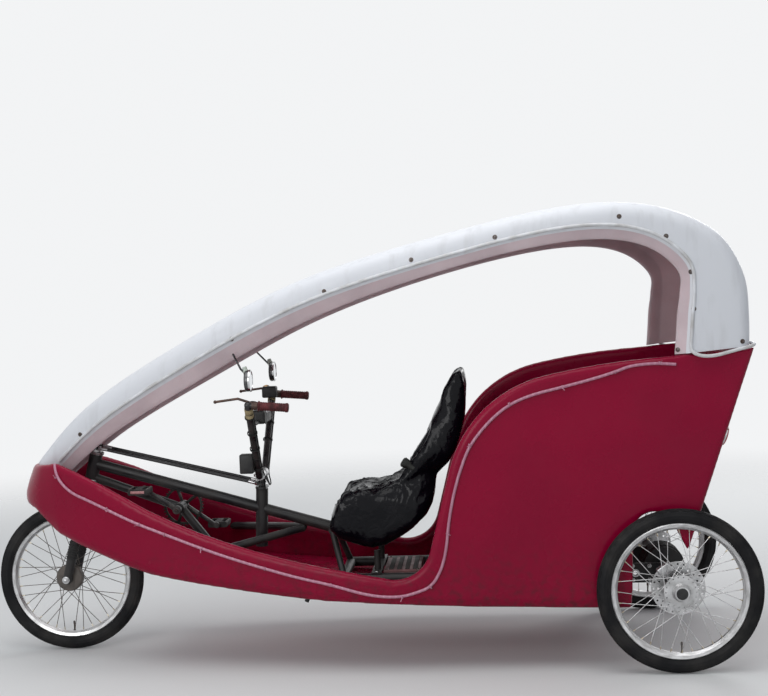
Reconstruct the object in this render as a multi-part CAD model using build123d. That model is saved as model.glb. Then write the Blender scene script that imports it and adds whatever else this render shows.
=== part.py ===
from build123d import *
import os
from math import atan2, cos, degrees, hypot, pi, radians, sin

# Cycle rickshaw: a pedal cab on three wheels with a moulded tub body, a white roof
# that runs from the nose to a passenger hood, and a two-seat bench behind the rider.
# Frame: +X towards the rear, +Y to the vehicle's right, +Z up, floor at Z 0,
# X 0 midway between the front of the front tyre and the rear of the rear tyres.
# All sizes are in millimetres.

# Driving dimensions
WHEELBASE = 2440.0
TRACK = 990.0
TYRE_R = 305.0
TYRE_W = 50.0
ARCH_GAP = 20.0
WALL = 42.0
FLOOR_T = 14.0
SKIN = 16.0
FORK_TILT = 14.0
COLUMN_TILT = 2.5
FIT = 0.05
GAP = 0.3

# The tables below are drawn at this wheelbase and body half width, and stretch from it
DRAWN_WHEELBASE = 2440.0
DRAWN_HALF = 450.0

FRONT_X = -WHEELBASE / 2
REAR_X = WHEELBASE / 2
AXLE_Z = TYRE_R
WHEEL_Y = TRACK / 2
BODY_HALF = WHEEL_Y - TYRE_W / 2 - ARCH_GAP
INNER_HALF = BODY_HALF - WALL

# Wheels
TYRE_DEPTH = 52.0
RIM_R = TYRE_R - TYRE_DEPTH
RIM_DEPTH = 24.0
RIM_W = 38.0
RIM_BED = 6.0
BEAD = 5.0
SPOKE_R = 1.4
SPOKES = 36
SPOKE_LEAD = 54.0
AXLE_R = 10.0
HUB_R = 22.0
FRONT_HUB_HALF = 42.0
DRUM_R = 56.0
REAR_FLANGE_R = 62.5
REAR_HUB_OUT = 55.0
REAR_HUB_IN = 58.0
DISC_R = 100.0
DISC_T = 4.0
DISC_Y = 46.0

# Frame tubes
MAIN_TUBE_R = 22.5
LOWER_TUBE_R = 17.5
BRACE_R = 16.0
SPINDLE_R = 9.0
BRACKET_R = 21.0
HEAD_R = 27.0
STEERER_R = 14.0
SLEEVE_R = 25.0
COLUMN_R = 15.0
RAIL_R = 20.0
LEG_R = 13.0
BEAM_R = 25.0
LASHING_R = 9.0

# Steering linkage
HEAD_TOP_Z = 827.0
HEAD_LEN = 130.0
COLUMN_LEN = 238.0
ARM = 35.0
ROD_R = 6.5
PIN_R = 5.0
PIN_UP = 30.0
PLATE_T = 8.0
EYE_CLEARANCE = 2.5

# Pedal crank
CRANK_LEN = 162.0
CRANK_ANGLE = 146.0
CRANK_Y = 62.0
PEDAL_L = 98.0
PEDAL_W = 80.0
PEDAL_T = 24.0
CHAINRING_R = 88.0
TEETH = 40


def along(x):
    """A drawn place along the vehicle, stretched with the wheelbase."""
    return x * WHEELBASE / DRAWN_WHEELBASE


def wide(y):
    """A drawn place across the body, stretched with its half width."""
    return y * BODY_HALF / DRAWN_HALF


def stretched(points):
    """A drawn side outline of points and (middle, end) arcs, stretched with the wheelbase."""
    result = []
    for step in points:
        if isinstance(step[0], tuple):
            result.append(tuple((along(x), z) for x, z in step))
        else:
            result.append((along(step[0]), step[1]))
    return result


SEAT_SOCKET = 29.0
SEAT_NODE = Vector(along(-96) - SEAT_SOCKET, 0, 489)
BRACKET = Vector(along(-746), 0, 583)
COLUMN_BASE = Vector(along(-412), 0, 414)
FORK_AXIS = Vector(sin(radians(FORK_TILT)), 0, cos(radians(FORK_TILT)))
COLUMN_AXIS = Vector(sin(radians(COLUMN_TILT)), 0, cos(radians(COLUMN_TILT)))
AXLE_FRONT = Vector(FRONT_X, 0, AXLE_Z)
HEAD_TOP = AXLE_FRONT + FORK_AXIS * ((HEAD_TOP_Z - AXLE_Z) / FORK_AXIS.Z)
HEAD_LOW = HEAD_TOP - FORK_AXIS * HEAD_LEN
COLUMN_TOP = COLUMN_BASE + COLUMN_AXIS * COLUMN_LEN
ACROSS = Vector(0, 1, 0)
REACH = 700.0

os.makedirs("parts", exist_ok=True)


def save(shape, name):
    """Write one named piece."""
    export_step(shape, f"parts/{name}.step")


def rod(start, end, radius):
    """A round bar between two points."""
    start = Vector(*start)
    run = Vector(*end) - start
    plane = Plane(origin=start, z_dir=run)
    return plane * Cylinder(radius, run.length, align=(Align.CENTER, Align.CENTER, Align.MIN))


def crossbar(point, half, radius):
    """A round bar across the vehicle, centred on a point of the centre plane."""
    return rod(point - ACROSS * half, point + ACROSS * half, radius)


def tube(start, end, radius, bore):
    """A round tube between two points, open at both ends."""
    return rod(start, end, radius) - rod(start, end, bore)


def block(x, y, z):
    """A box from three (low, high) pairs."""
    size = (x[1] - x[0], y[1] - y[0], z[1] - z[0])
    centre = ((x[0] + x[1]) / 2, (y[0] + y[1]) / 2, (z[0] + z[1]) / 2)
    return Pos(*centre) * Box(*size)


def span(first, second):
    """Two numbers as a (low, high) pair."""
    return (min(first, second), max(first, second))


def outline_edges(points):
    """The edges of an open side outline; a pair of points is an arc's middle and end."""
    edges = []
    here = points[0]
    for step in points[1:]:
        if isinstance(step[0], tuple):
            edges.append(ThreePointArc(here, step[0], step[1]))
            here = step[1]
        else:
            edges.append(Line(here, step))
            here = step
    return edges


def outline(points):
    """A closed side outline as a face."""
    return make_face(outline_edges(points + [points[0]]))


def across(face, first, second):
    """Extrude a side outline across the vehicle between two places."""
    low, high = span(first, second)
    return Pos(0, high, 0) * Rot(90, 0, 0) * extrude(face, high - low)


def both_sides(make):
    """The piece that make(side) gives on the left, -1, and on the right, 1."""
    return make(-1) + make(1)


# Sills: the low walls beside the rider, lofted through upright sections
# columns: X, outer half width, crest height, belly height
SILL = [
    (-1200.0, 219.5, 806.0, 517.0),
    (-1110.0, 258.0, 773.0, 478.5),
    (-1010.0, 291.5, 730.5, 440.0),
    (-900.0, 319.0, 676.0, 398.0),
    (-802.0, 336.0, 624.0, 366.0),
    (-700.0, 351.0, 578.0, 346.5),
    (-600.0, 364.5, 538.0, 330.0),
    (-500.0, 377.0, 503.0, 315.0),
    (-400.0, 389.0, 472.0, 301.0),
    (-300.0, 401.0, 445.0, 288.5),
    (-200.0, 413.0, 421.0, 277.0),
    (-107.0, 424.0, 402.0, 268.0),
    (-53.0, 430.0, 392.5, 265.5),
    (60.0, 442.5, 371.5, 260.0),
    (164.0, 450.0, 354.0, 255.0),
]
BELLY_ROLL = 38.0
MIDWAY = 1 - cos(radians(45))


def wall_across(index):
    """The wall's thickness across the vehicle at a station, where the plan slants."""
    after = min(index + 1, len(SILL) - 1)
    before = max(index - 1, 0)
    rise = wide(SILL[after][1] - SILL[before][1])
    run = along(SILL[after][0] - SILL[before][0])
    return WALL * hypot(1, rise / run)


def sill_section(index, side):
    """One upright section of a sill: rolled-under belly, plumb sides and a round crest."""
    x, half, crest, belly = SILL[index]
    half = wide(half)
    wall = wall_across(index)
    shoulder = crest - wall / 2
    plane = Plane(origin=(along(x), 0, 0), x_dir=(0, 1, 0), z_dir=(1, 0, 0))
    rolled = [(half - BELLY_ROLL, belly), (half - BELLY_ROLL * MIDWAY, belly + BELLY_ROLL * MIDWAY),
              (half, belly + BELLY_ROLL)]
    crown = [(half, shoulder), (half - wall / 2, crest), (half - wall, shoulder)]
    foot = (half - wall, belly)
    at = [[(side * y, z) for y, z in points] for points in (rolled, crown, [foot])]
    return plane * make_face([
        ThreePointArc(*at[0]),
        Line(at[0][2], at[1][0]),
        ThreePointArc(*at[1]),
        Line(at[1][2], at[2][0]),
        Line(at[2][0], at[0][0]),
    ])


sills = {}
for name, side in (("left", -1), ("right", 1)):
    sills[name] = loft([sill_section(index, side) for index in range(len(SILL))], ruled=True)
    save(sills[name], f"sill_{name}")

# Nose cowl: the closed bow ahead of the sills, lofted through slices that slope down to the front
# columns: height at the joint, front X, half width at the joint
NOSE = [
    (510.0, -1235.0, 176.0),
    (523.0, -1262.0, 200.0),
    (540.0, -1290.0, 213.0),
    (572.0, -1330.0, 219.5),
    (620.0, -1372.0, 219.5),
    (662.0, -1390.0, 219.5),
    (700.0, -1390.0, 219.5),
    (745.0, -1374.0, 219.5),
    (785.0, -1356.0, 219.5),
]
NOSE_PLUMB = 4
NOSE_SLOPE = 8.2
NOSE_ROUND = WALL / 2
ROUND_TURNS = (30, 60, 80)
NOSE_JOIN = along(SILL[0][0])


def nose_slice(height, front, half):
    """One slice of the bow: two arcs a side from the front to the joint."""
    plane = Plane(
        origin=(NOSE_JOIN, 0, height),
        x_dir=(cos(radians(NOSE_SLOPE)), 0, sin(radians(NOSE_SLOPE))),
        z_dir=(-sin(radians(NOSE_SLOPE)), 0, cos(radians(NOSE_SLOPE))))
    length = front / cos(radians(NOSE_SLOPE))
    bow = [(length, 0), (0.853 * length, 0.42 * half), (0.474 * length, 0.785 * half),
           (0.237 * length, 0.9 * half), (0, half)]
    port = [(x, -y) for x, y in bow]
    return plane * make_face([
        ThreePointArc(bow[0], bow[1], bow[2]),
        ThreePointArc(bow[2], bow[3], bow[4]),
        Line(bow[4], port[4]),
        ThreePointArc(port[4], port[3], port[2]),
        ThreePointArc(port[2], port[1], port[0]),
    ])


outer_slices = []
inner_slices = []
for number, (height, front, half) in enumerate(NOSE):
    ahead = along(front) - NOSE_JOIN
    outer_slices.append(nose_slice(height, ahead, wide(half)))
    within = NOSE[max(number, NOSE_PLUMB)]
    inside = along(within[1]) - NOSE_JOIN + WALL
    inner_slices.append(nose_slice(height, inside, wide(within[2]) - wall_across(0)))
for turn in ROUND_TURNS:
    inset = NOSE_ROUND * (1 - cos(radians(turn)))
    height = NOSE[-1][0] + NOSE_ROUND * sin(radians(turn))
    outer_slices.append(nose_slice(height, ahead + inset, wide(half) - inset))
    inner_slices.append(nose_slice(height, ahead + WALL - inset, wide(half) - wall_across(0) + inset))
nose_under = outline(stretched([
    (-1450.0, 300.0), (-1450, 655), (-1405, 642), (-1308, 612), (-1200, 517), (-1150, 517), (-1150, 300)]))
nose = loft(outer_slices, ruled=True) - loft(inner_slices, ruled=True) - across(nose_under, -REACH, REACH)
save(nose, "nose_cowl")

# Cabin sides: flat panels beside the passengers, with a rounded front edge and rear corner
CABIN_JOIN = along(SILL[-1][0])
CREST_ROUND = 18.0
CORNER_ROUND = 14.0
CREST = stretched([(164.0, 354.0), (302, 459), (383, 762), (658, 1080), (760, 1112), (1189, 1165)])
HOOD_SEAT_X = CREST[-1][0]
BULKHEAD_X = along(1050)
REAR_TOP = (along(1523), 1189.0)
REAR_LOW = (along(1289), 516.0)
ARCH = stretched([
    (1262.0, 440.0),
    (1222, 520),
    ((1150, 590), (1062, 500)),
    (1050, 226),
])
CABIN_BELLY = stretched([(1000.0, 226.0), (438, 242), (164, 255)])


def crest_line():
    """The crest's curves from the sill up to the hood, each running on smoothly from the last."""
    rise = Vector(*CREST[2]) - Vector(*CREST[1])
    curves = [TangentArc(CREST[1], CREST[0], tangent=rise * -1), Line(CREST[1], CREST[2])]
    for point in CREST[3:]:
        curves.append(TangentArc(curves[-1] @ 1, point, tangent=curves[-1] % 1))
    return curves


cabin_outline = make_face(
    crest_line() + outline_edges([CREST[-1], REAR_TOP, REAR_LOW] + ARCH + CABIN_BELLY + [CREST[0]]))


def near_line(edge, start, end):
    """True where an edge's middle lies within a millimetre of a line on the side outline."""
    middle = edge @ 0.5
    run = Vector(end[0] - start[0], 0, end[1] - start[1])
    offset = Vector(middle.X - start[0], 0, middle.Z - start[1])
    return offset.cross(run.normalized()).length < 1


def along_wall(edges):
    """The edges that run along a wall's faces, not through its thickness."""
    return [edge for edge in edges if abs((edge @ 0).Y - (edge @ 1).Y) < 1]


def cabin_side(side):
    """One cabin side: the front part with a rounded crest, the rear part under the hood."""
    outer = side * BODY_HALF
    wall = across(cabin_outline, side * INNER_HALF, outer)
    ahead = block((CABIN_JOIN - 1, HOOD_SEAT_X), (-REACH, REACH), (100, REAR_TOP[1] + 100))
    front = wall & ahead
    crest = [edge for edge in along_wall(front.edges()) if CABIN_JOIN + 1 < (edge @ 0.5).X < HOOD_SEAT_X - 1
             and ((edge @ 0.5).Z > 1000 or ((edge @ 0.5).Z > CREST[0][1] and (edge @ 0.5).X < along(700)))]
    front = fillet(crest, CREST_ROUND)
    rear = wall - ahead
    corner = [edge for edge in along_wall(rear.edges())
              if abs((edge @ 0).Y - outer) < 1 and near_line(edge, REAR_TOP, REAR_LOW)]
    rear = fillet(corner, CORNER_ROUND)
    belly = [edge for edge in along_wall(front.edges()) if abs((edge @ 0).Y - outer) < 1
             and (edge @ 0.5).Z < 260 and (edge @ 0.5).X < BULKHEAD_X - 1]
    return fillet(belly, BELLY_ROLL) + rear


cabins = {}
for name, side in (("left", -1), ("right", 1)):
    cabins[name] = cabin_side(side)
    save(cabins[name], f"cabin_side_{name}")

# Rear panel: a slanted wall between the cabin sides
PANEL_STEP = 3.0
panel = outline([
    REAR_LOW,
    REAR_TOP,
    (REAR_TOP[0] - WALL, REAR_TOP[1] - PANEL_STEP),
    (REAR_LOW[0] - WALL, REAR_LOW[1] + PANEL_STEP),
])
save(across(panel, -INNER_HALF, INNER_HALF), "rear_panel")


def panel_front(z):
    """How far back a cushion may reach at a height, just clear of the rear panel."""
    rise = (z - REAR_LOW[1] - PANEL_STEP) / (REAR_TOP[1] - REAR_LOW[1] - 2 * PANEL_STEP)
    return REAR_LOW[0] - WALL + rise * (REAR_TOP[0] - REAR_LOW[0]) - 2 * GAP


# Floor: follows the belly between the walls, from behind the front wheel to the bulkhead
FLOOR_FRONT = along(-830)
FLOOR_ARC = along(-480)
FLOOR_KNEE = along(-107)
FLOOR_FLAT = along(438)
floor_band = outline([
    (FLOOR_FRONT, 375),
    ((FLOOR_ARC, 312), (FLOOR_KNEE, 268)),
    (FLOOR_FLAT, 242),
    (BULKHEAD_X, 226),
    (BULKHEAD_X, 226 + FLOOR_T),
    (FLOOR_FLAT, 242 + FLOOR_T),
    (FLOOR_KNEE, 268 + FLOOR_T),
    ((FLOOR_ARC, 312 + FLOOR_T), (FLOOR_FRONT, 375 + FLOOR_T)),
])
floor_bulk = across(floor_band, -REACH, REACH)
edge_line = [(along(row[0]), wide(row[1]) - wall_across(index)) for index, row in enumerate(SILL)]
edge_line.append((BULKHEAD_X, INNER_HALF))
floor_plan = edge_line + [(x, -y) for x, y in reversed(edge_line)]
between_walls = Pos(0, 0, 100) * extrude(make_face(Polyline(*floor_plan, close=True)), 800)
floor = floor_bulk & between_walls
save(floor, "tub_floor")

# Bench: riser, seat pan and rear bulkhead in one moulding, with two cushions
BENCH_FRONT = along(860)
BENCH_FOOT = 249.0
PAN_Z = 640.0
PAN_T = 20.0
PAN_TUCK = 38.0
PAN_BACK = REAR_LOW[0] - WALL + PAN_TUCK
CUSHION_T = 95.0
CUSHION_NOSE = 25.0
CUSHION_ROUND = 22.0
CUSHION_SIDE = 8.0
BACK_T = 90.0
BACK_TOP = 1125.0
RAIL_Y = 170.0
RAIL_Z = 305.0
RAIL_START = along(-60)
bench = outline([
    (BENCH_FRONT, BENCH_FOOT + 1),
    (BENCH_FRONT, PAN_Z),
    (PAN_BACK, PAN_Z),
    (PAN_BACK - 5, PAN_Z - PAN_T),
    (BULKHEAD_X, PAN_Z - PAN_T),
    (BULKHEAD_X, BENCH_FOOT - 4),
    (BULKHEAD_X - PAN_T, BENCH_FOOT - 4),
    (BULKHEAD_X - PAN_T, PAN_Z - PAN_T),
    (BENCH_FRONT + PAN_T, PAN_Z - PAN_T),
    (BENCH_FRONT + PAN_T, BENCH_FOOT),
])


def rail(side):
    """One floor rail, up to the bulkhead."""
    return rod((RAIL_START, side * RAIL_Y, RAIL_Z), (BULKHEAD_X - PAN_T - GAP, side * RAIL_Y, RAIL_Z), RAIL_R)


def rail_hole(side):
    """The hole for a rail through the bench riser."""
    middle = BENCH_FRONT + PAN_T / 2
    start = (middle - 2 * PAN_T, side * RAIL_Y, RAIL_Z)
    return rod(start, (middle + 2 * PAN_T, side * RAIL_Y, RAIL_Z), RAIL_R + GAP)


rails = crossbar(Vector(RAIL_START, 0, RAIL_Z), RAIL_Y, RAIL_R) + both_sides(rail)
save(across(bench, -INNER_HALF, INNER_HALF) - both_sides(rail_hole), "bench_base")
save(rails, "floor_rails")
seat_top = PAN_Z + CUSHION_T
cushion = outline([
    (BENCH_FRONT - CUSHION_NOSE, PAN_Z + GAP),
    (BENCH_FRONT - CUSHION_NOSE, seat_top),
    (panel_front(seat_top) - CUSHION_NOSE, seat_top),
    (panel_front(PAN_Z) - CUSHION_NOSE, PAN_Z + GAP),
])
cushion_half = INNER_HALF - CUSHION_SIDE
save(fillet(across(cushion, -cushion_half, cushion_half).edges(), CUSHION_ROUND), "bench_cushion")
back = outline([
    (panel_front(seat_top + GAP) - BACK_T, seat_top + GAP),
    (panel_front(seat_top + GAP), seat_top + GAP),
    (panel_front(BACK_TOP), BACK_TOP),
    (panel_front(BACK_TOP) - BACK_T, BACK_TOP),
])
save(fillet(across(back, -cushion_half, cushion_half).edges(), CUSHION_ROUND), "backrest_cushion")

# Step box on the floor behind the rider's seat
STEP_X = (along(175) - 75, along(175) + 75)
STEP_HALF = 140.0
STEP_TOP = 330.0
STEP_ROUND = 6.0
step = block(STEP_X, (-STEP_HALF, STEP_HALF), (STEP_TOP - 60, STEP_TOP))
step = fillet(step.faces().sort_by(Axis.Z)[-1].edges(), STEP_ROUND)
save(step - floor_bulk, "step_box")

# Roof: a channel shell with turned-in flanges, lofted through sections square to its path
# columns: crown X, crown Z, path angle in degrees above the horizontal (rearward), half width,
#          corner radius, depth from the crown to the lip, flange depth
ROOF = [
    (-1342.0, 776.0, 52.0, 100.0, 45.0, 75.0, 60.0),
    (-1100.0, 1022.0, 41.0, 175.0, 60.0, 95.0, 80.0),
    (-700.0, 1265.0, 28.0, 245.0, 65.0, 100.0, 90.0),
    (-200.0, 1503.0, 20.0, 315.0, 65.0, 100.0, 80.0),
    (350.0, 1655.0, 14.0, 390.0, 65.0, 95.0, 58.0),
    (840.0, 1750.0, 5.0, 445.0, 65.0, 95.0, 60.0),
    (1160.0, 1744.0, -12.0, 455.0, 62.0, 115.0, 60.0),
    (1400.0, 1640.0, -42.0, 455.0, 58.0, 165.0, 60.0),
    (1506.0, 1475.0, -72.0, 455.0, 52.0, 210.0, 60.0),
    (1524.0, 1300.0, -90.0, 455.0, 48.0, 228.0, 60.0),
    (1519.0, 1140.0, -92.0, 452.0, 48.0, 236.0, 60.0),
]
ROOF_SPLIT = 4
STATIONS_BETWEEN = 3
CROWN = 12.0
FLANGE_IN = 0.55
FLANGE_DOWN = 0.83


def smooth_row(index, share):
    """A row of the roof table between two of its rows, on a smooth curve through all of them."""
    rows = [ROOF[max(0, min(len(ROOF) - 1, index + step))] for step in (-1, 0, 1, 2)]
    result = []
    for a, b, c, d in zip(*rows):
        bend = (2 * a - 5 * b + 4 * c - d) * share ** 2 + (3 * b - a - 3 * c + d) * share ** 3
        result.append(0.5 * (2 * b + (c - a) * share + bend))
    return tuple(result)


def roof_stations(first, last):
    """The smoothed rows from one row of the table to another."""
    rows = []
    for index in range(first, last):
        rows.extend(smooth_row(index, step / STATIONS_BETWEEN) for step in range(STATIONS_BETWEEN))
    return rows + [ROOF[last]]


def roof_section(x, z, angle, half, corner, depth, flange):
    """One section: crown, rounded corners, sides down to the lip and the flange turned in."""
    tangent = Vector(cos(radians(angle)), 0, sin(radians(angle)))
    plane = Plane(origin=(along(x), 0, z), x_dir=(0, 1, 0), z_dir=tangent)
    half = wide(half)

    def corner_arc(width, top, radius):
        """The rounded corner's start, middle and end on the right side."""
        return [
            (width - radius, -CROWN - top),
            (width - radius * MIDWAY, -CROWN - top - radius * MIDWAY),
            (width, -CROWN - top - radius),
        ]

    outer = corner_arc(half, 0, corner)
    inner = corner_arc(half - SKIN, SKIN, corner - SKIN)
    lip = (half, -depth)
    edge = (half - flange * FLANGE_IN, -depth - flange * FLANGE_DOWN)
    inner_edge = (edge[0] - SKIN * FLANGE_DOWN, edge[1] + SKIN * FLANGE_IN)
    inner_lip = (half - SKIN, -depth + SKIN * 0.3)

    def flip(point):
        """The same point on the left side."""
        return (-point[0], point[1])

    right = [
        ThreePointArc(*outer),
        Line(outer[2], lip),
        Line(lip, edge),
        Line(edge, inner_edge),
        Line(inner_edge, inner_lip),
        Line(inner_lip, inner[2]),
        ThreePointArc(inner[2], inner[1], inner[0]),
    ]
    left = [
        ThreePointArc(*[flip(point) for point in inner]),
        Line(flip(inner[2]), flip(inner_lip)),
        Line(flip(inner_lip), flip(inner_edge)),
        Line(flip(inner_edge), flip(edge)),
        Line(flip(edge), flip(lip)),
        Line(flip(lip), flip(outer[2])),
        ThreePointArc(flip(outer[2]), flip(outer[1]), flip(outer[0])),
    ]
    crown = ThreePointArc(flip(outer[0]), (0, 0), outer[0])
    under = ThreePointArc(inner[0], (0, -SKIN), flip(inner[0]))
    return plane * make_face([crown] + right + [under] + left)


seat_rise = (REAR_TOP[1] - CREST[-1][1]) / (REAR_TOP[0] - HOOD_SEAT_X)
below_hood = outline([
    (along(450), 900.0),
    CREST[3],
    CREST[4],
    (HOOD_SEAT_X, CREST[-1][1] + GAP),
    (REAR_TOP[0] + 90, CREST[-1][1] + GAP + seat_rise * (REAR_TOP[0] + 90 - HOOD_SEAT_X)),
    (REAR_TOP[0] + 90, 900),
])
spine = loft([roof_section(*row) for row in roof_stations(0, ROOF_SPLIT)], ruled=True)
save(spine - nose - sills["left"] - sills["right"], "roof_spine")
hood = loft([roof_section(*row) for row in roof_stations(ROOF_SPLIT, len(ROOF) - 1)], ruled=True)
save(hood - across(below_hood, -REACH, REACH), "roof_hood")

# Frame: head tube with bearing seats, main and lower tubes, bottom bracket, column sleeve
BEARING_L = 14.0
HEAD_RELIEF = 4.0
MAIN_DROP = 52.0
LOWER_DROP = 108.0
LOWER_FOOT = Vector(along(-545), 0, 325)
BRACKET_HALF = 34.0
PAST = 20.0
head = tube(HEAD_LOW, HEAD_TOP, HEAD_R, STEERER_R + FIT)
head = head - rod(HEAD_LOW + FORK_AXIS * BEARING_L, HEAD_TOP - FORK_AXIS * BEARING_L, STEERER_R + HEAD_RELIEF)
save(head, "head_tube")
head_bulk = rod(HEAD_LOW - FORK_AXIS * PAST, HEAD_TOP + FORK_AXIS * PAST, HEAD_R)
sleeve_bulk = rod(COLUMN_BASE - COLUMN_AXIS * PAST, COLUMN_TOP, SLEEVE_R)
MAIN_START = HEAD_TOP - FORK_AXIS * MAIN_DROP
main = rod(MAIN_START, SEAT_NODE, MAIN_TUBE_R) - head_bulk - sleeve_bulk
save(main, "main_tube")
shell = crossbar(BRACKET, BRACKET_HALF, BRACKET_R)
lower = rod(HEAD_TOP - FORK_AXIS * LOWER_DROP, BRACKET, LOWER_TUBE_R) + rod(BRACKET, LOWER_FOOT, LOWER_TUBE_R)
below_floor = block((FLOOR_FRONT, FLOOR_KNEE), (-RAIL_Y, RAIL_Y), (100, LOWER_FOOT.Z + 5))
save(lower - head_bulk - shell - floor_bulk - below_floor, "lower_tube")
save(shell - crossbar(BRACKET, BRACKET_HALF + 1, SPINDLE_R + FIT), "bottom_bracket")
sleeve_bore = rod(COLUMN_BASE - COLUMN_AXIS, COLUMN_TOP + COLUMN_AXIS, COLUMN_R + FIT)
save(rod(COLUMN_BASE, COLUMN_TOP, SLEEVE_R) - sleeve_bore, "column_sleeve")

# Rear axle: beam with stub axles, brackets to the bulkhead with lashing eyes, a drive housing
EYE_X = BULKHEAD_X + 45.0
BRACKET_PLATE = 12.0
BRACKET_RISE = 38.0
BEAM_END = WHEEL_Y - REAR_HUB_IN - GAP
AXLE_END = WHEEL_Y + REAR_HUB_OUT - 12.0
HOUSING_R = 78.0
HOUSING_HALF = 62.0
COOLING_RIBS = 5
RIB_T = 6.0
RIB_RISE = 7.0
REAR_AXLE = Vector(REAR_X, 0, AXLE_Z)
beam_bulk = crossbar(REAR_AXLE, BEAM_END, BEAM_R)
save(beam_bulk + crossbar(REAR_AXLE, AXLE_END, AXLE_R), "rear_axle")


def axle_bracket(side):
    """One plate from the bulkhead round the beam, with its lashing eye."""
    faces = span(side * RAIL_Y - BRACKET_PLATE / 2, side * RAIL_Y + BRACKET_PLATE / 2)
    plate = block((BULKHEAD_X, REAR_X), faces, (AXLE_Z - BRACKET_RISE, AXLE_Z + BRACKET_RISE))
    middle = Vector(REAR_X, side * RAIL_Y, AXLE_Z)
    plate = plate + crossbar(middle, BRACKET_PLATE / 2, BRACKET_RISE)
    return plate - beam_bulk - crossbar(Vector(EYE_X, side * RAIL_Y, AXLE_Z), BRACKET_PLATE, LASHING_R)


save(both_sides(axle_bracket), "axle_brackets")
housing = crossbar(REAR_AXLE, HOUSING_HALF, HOUSING_R)
for number in range(COOLING_RIBS):
    offset = (number - (COOLING_RIBS - 1) / 2) * 2 * HOUSING_HALF / (COOLING_RIBS + 1)
    housing = housing + crossbar(REAR_AXLE + ACROSS * offset, RIB_T / 2, HOUSING_R + RIB_RISE)
save(housing - beam_bulk, "drive_housing")

# Wheels: the profiles are (radius, offset along the axle) pairs; the rear ones run from
# inboard to outboard
DISC_BELL_R = 30.0
# columns: ring radius, hole radius, number of holes
DISC_HOLES = [
    (90.0, 4.0, 24),
    (74.0, 4.0, 18),
    (52.0, 8.0, 10),
]
FLANGE_HOLES = 18
FLANGE_HOLE_R = 2.6
FLANGE_FACE = (18.0, 26.0)


def on_axle(x, y, solid):
    """Put a solid that was turned about Z on an axle."""
    return Pos(x, y, AXLE_Z) * Rot(-90, 0, 0) * solid


def turned(points):
    """Turn a profile of (radius, offset along the axle) pairs."""
    return revolve(make_face(Polyline(*[(r, 0, o) for r, o in points], close=True)), Axis.Z)


def spokes(flanges):
    """Laced spokes: flanges is a list of (offset along the axle, flange radius)."""
    wires = []
    bed = RIM_R - RIM_DEPTH - 0.9
    for index in range(SPOKES):
        offset, radius = flanges[index % 2]
        turn = 2 * pi * index / SPOKES
        lead = (1 if (index // 2) % 2 else -1) * radians(SPOKE_LEAD)
        start = (radius * cos(turn + lead), radius * sin(turn + lead), offset)
        end = (bed * cos(turn), bed * sin(turn), (RIM_BED - 2) * (1 if offset > 0 else -1))
        wires.append(rod(start, end, SPOKE_R))
    return wires


def laced_hub(body, flanges):
    """A hub body with its spokes."""
    for wire in spokes(flanges):
        body = body + wire
    return body


def tyre():
    """The tyre: an oval section down to the rim."""
    far = TYRE_R + TYRE_DEPTH
    ring = turned([(RIM_R, -TYRE_W), (far, -TYRE_W), (far, TYRE_W), (RIM_R, TYRE_W)])
    deep = (TYRE_DEPTH + BEAD) / 2
    oval = Plane(origin=(TYRE_R - deep, 0, 0), x_dir=(1, 0, 0), z_dir=(0, -1, 0)) * Ellipse(deep, TYRE_W / 2)
    return revolve(oval, Axis.Z) & ring


def rim():
    """The rim: box section with hooked edges."""
    bed = RIM_R - RIM_DEPTH
    hook = RIM_W / 2 - 3
    return turned([(RIM_R - GAP, -hook), (RIM_R - GAP, hook), (RIM_R - 4, RIM_W / 2), (bed + 9, hook),
                   (bed, RIM_BED), (bed, -RIM_BED), (bed + 9, -hook), (RIM_R - 4, -RIM_W / 2)])


def front_hub():
    """Drum on the left, spoke flange on the right."""
    body = turned([
        (AXLE_R + FIT, -FRONT_HUB_HALF), (HUB_R, -FRONT_HUB_HALF), (DRUM_R - 6, -FRONT_HUB_HALF + 4),
        (DRUM_R, -FRONT_HUB_HALF + 8), (DRUM_R, -14), (HUB_R, -8), (HUB_R, 22), (38, 26), (38, 30),
        (HUB_R, 34), (HUB_R, FRONT_HUB_HALF), (AXLE_R + FIT, FRONT_HUB_HALF)])
    return laced_hub(body, [(-20, DRUM_R - 2), (28, 36)])


def rear_hub():
    """Perforated brake disc inboard, drilled flange outboard."""
    body = turned([
        (AXLE_R + FIT, -REAR_HUB_IN), (DISC_BELL_R, -REAR_HUB_IN), (DISC_BELL_R, -24), (48, -22), (48, -18),
        (DISC_BELL_R, -16), (DISC_BELL_R, FLANGE_FACE[0] - 2), (REAR_FLANGE_R, FLANGE_FACE[0]),
        (REAR_FLANGE_R, FLANGE_FACE[1]), (34, 28), (26, 44), (26, REAR_HUB_OUT), (0, REAR_HUB_OUT),
        (0, REAR_HUB_OUT - 10), (AXLE_R + FIT, REAR_HUB_OUT - 10)])
    disc = Circle(DISC_R)
    for ring, hole, count in DISC_HOLES:
        disc = disc - PolarLocations(ring, count) * Circle(hole)
    disc = Pos(0, 0, -DISC_Y - DISC_T / 2) * extrude(disc, DISC_T)
    body = body + (disc - Cylinder(DISC_BELL_R - 1, 4 * REAR_HUB_IN))
    drill = Pos(0, 0, FLANGE_FACE[0] - 2) * extrude(
        Sketch() + PolarLocations(REAR_FLANGE_R - 7, FLANGE_HOLES) * Circle(FLANGE_HOLE_R), 14)
    return laced_hub(body - drill, [(-20, 46), (22, REAR_FLANGE_R - 2)])


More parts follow.
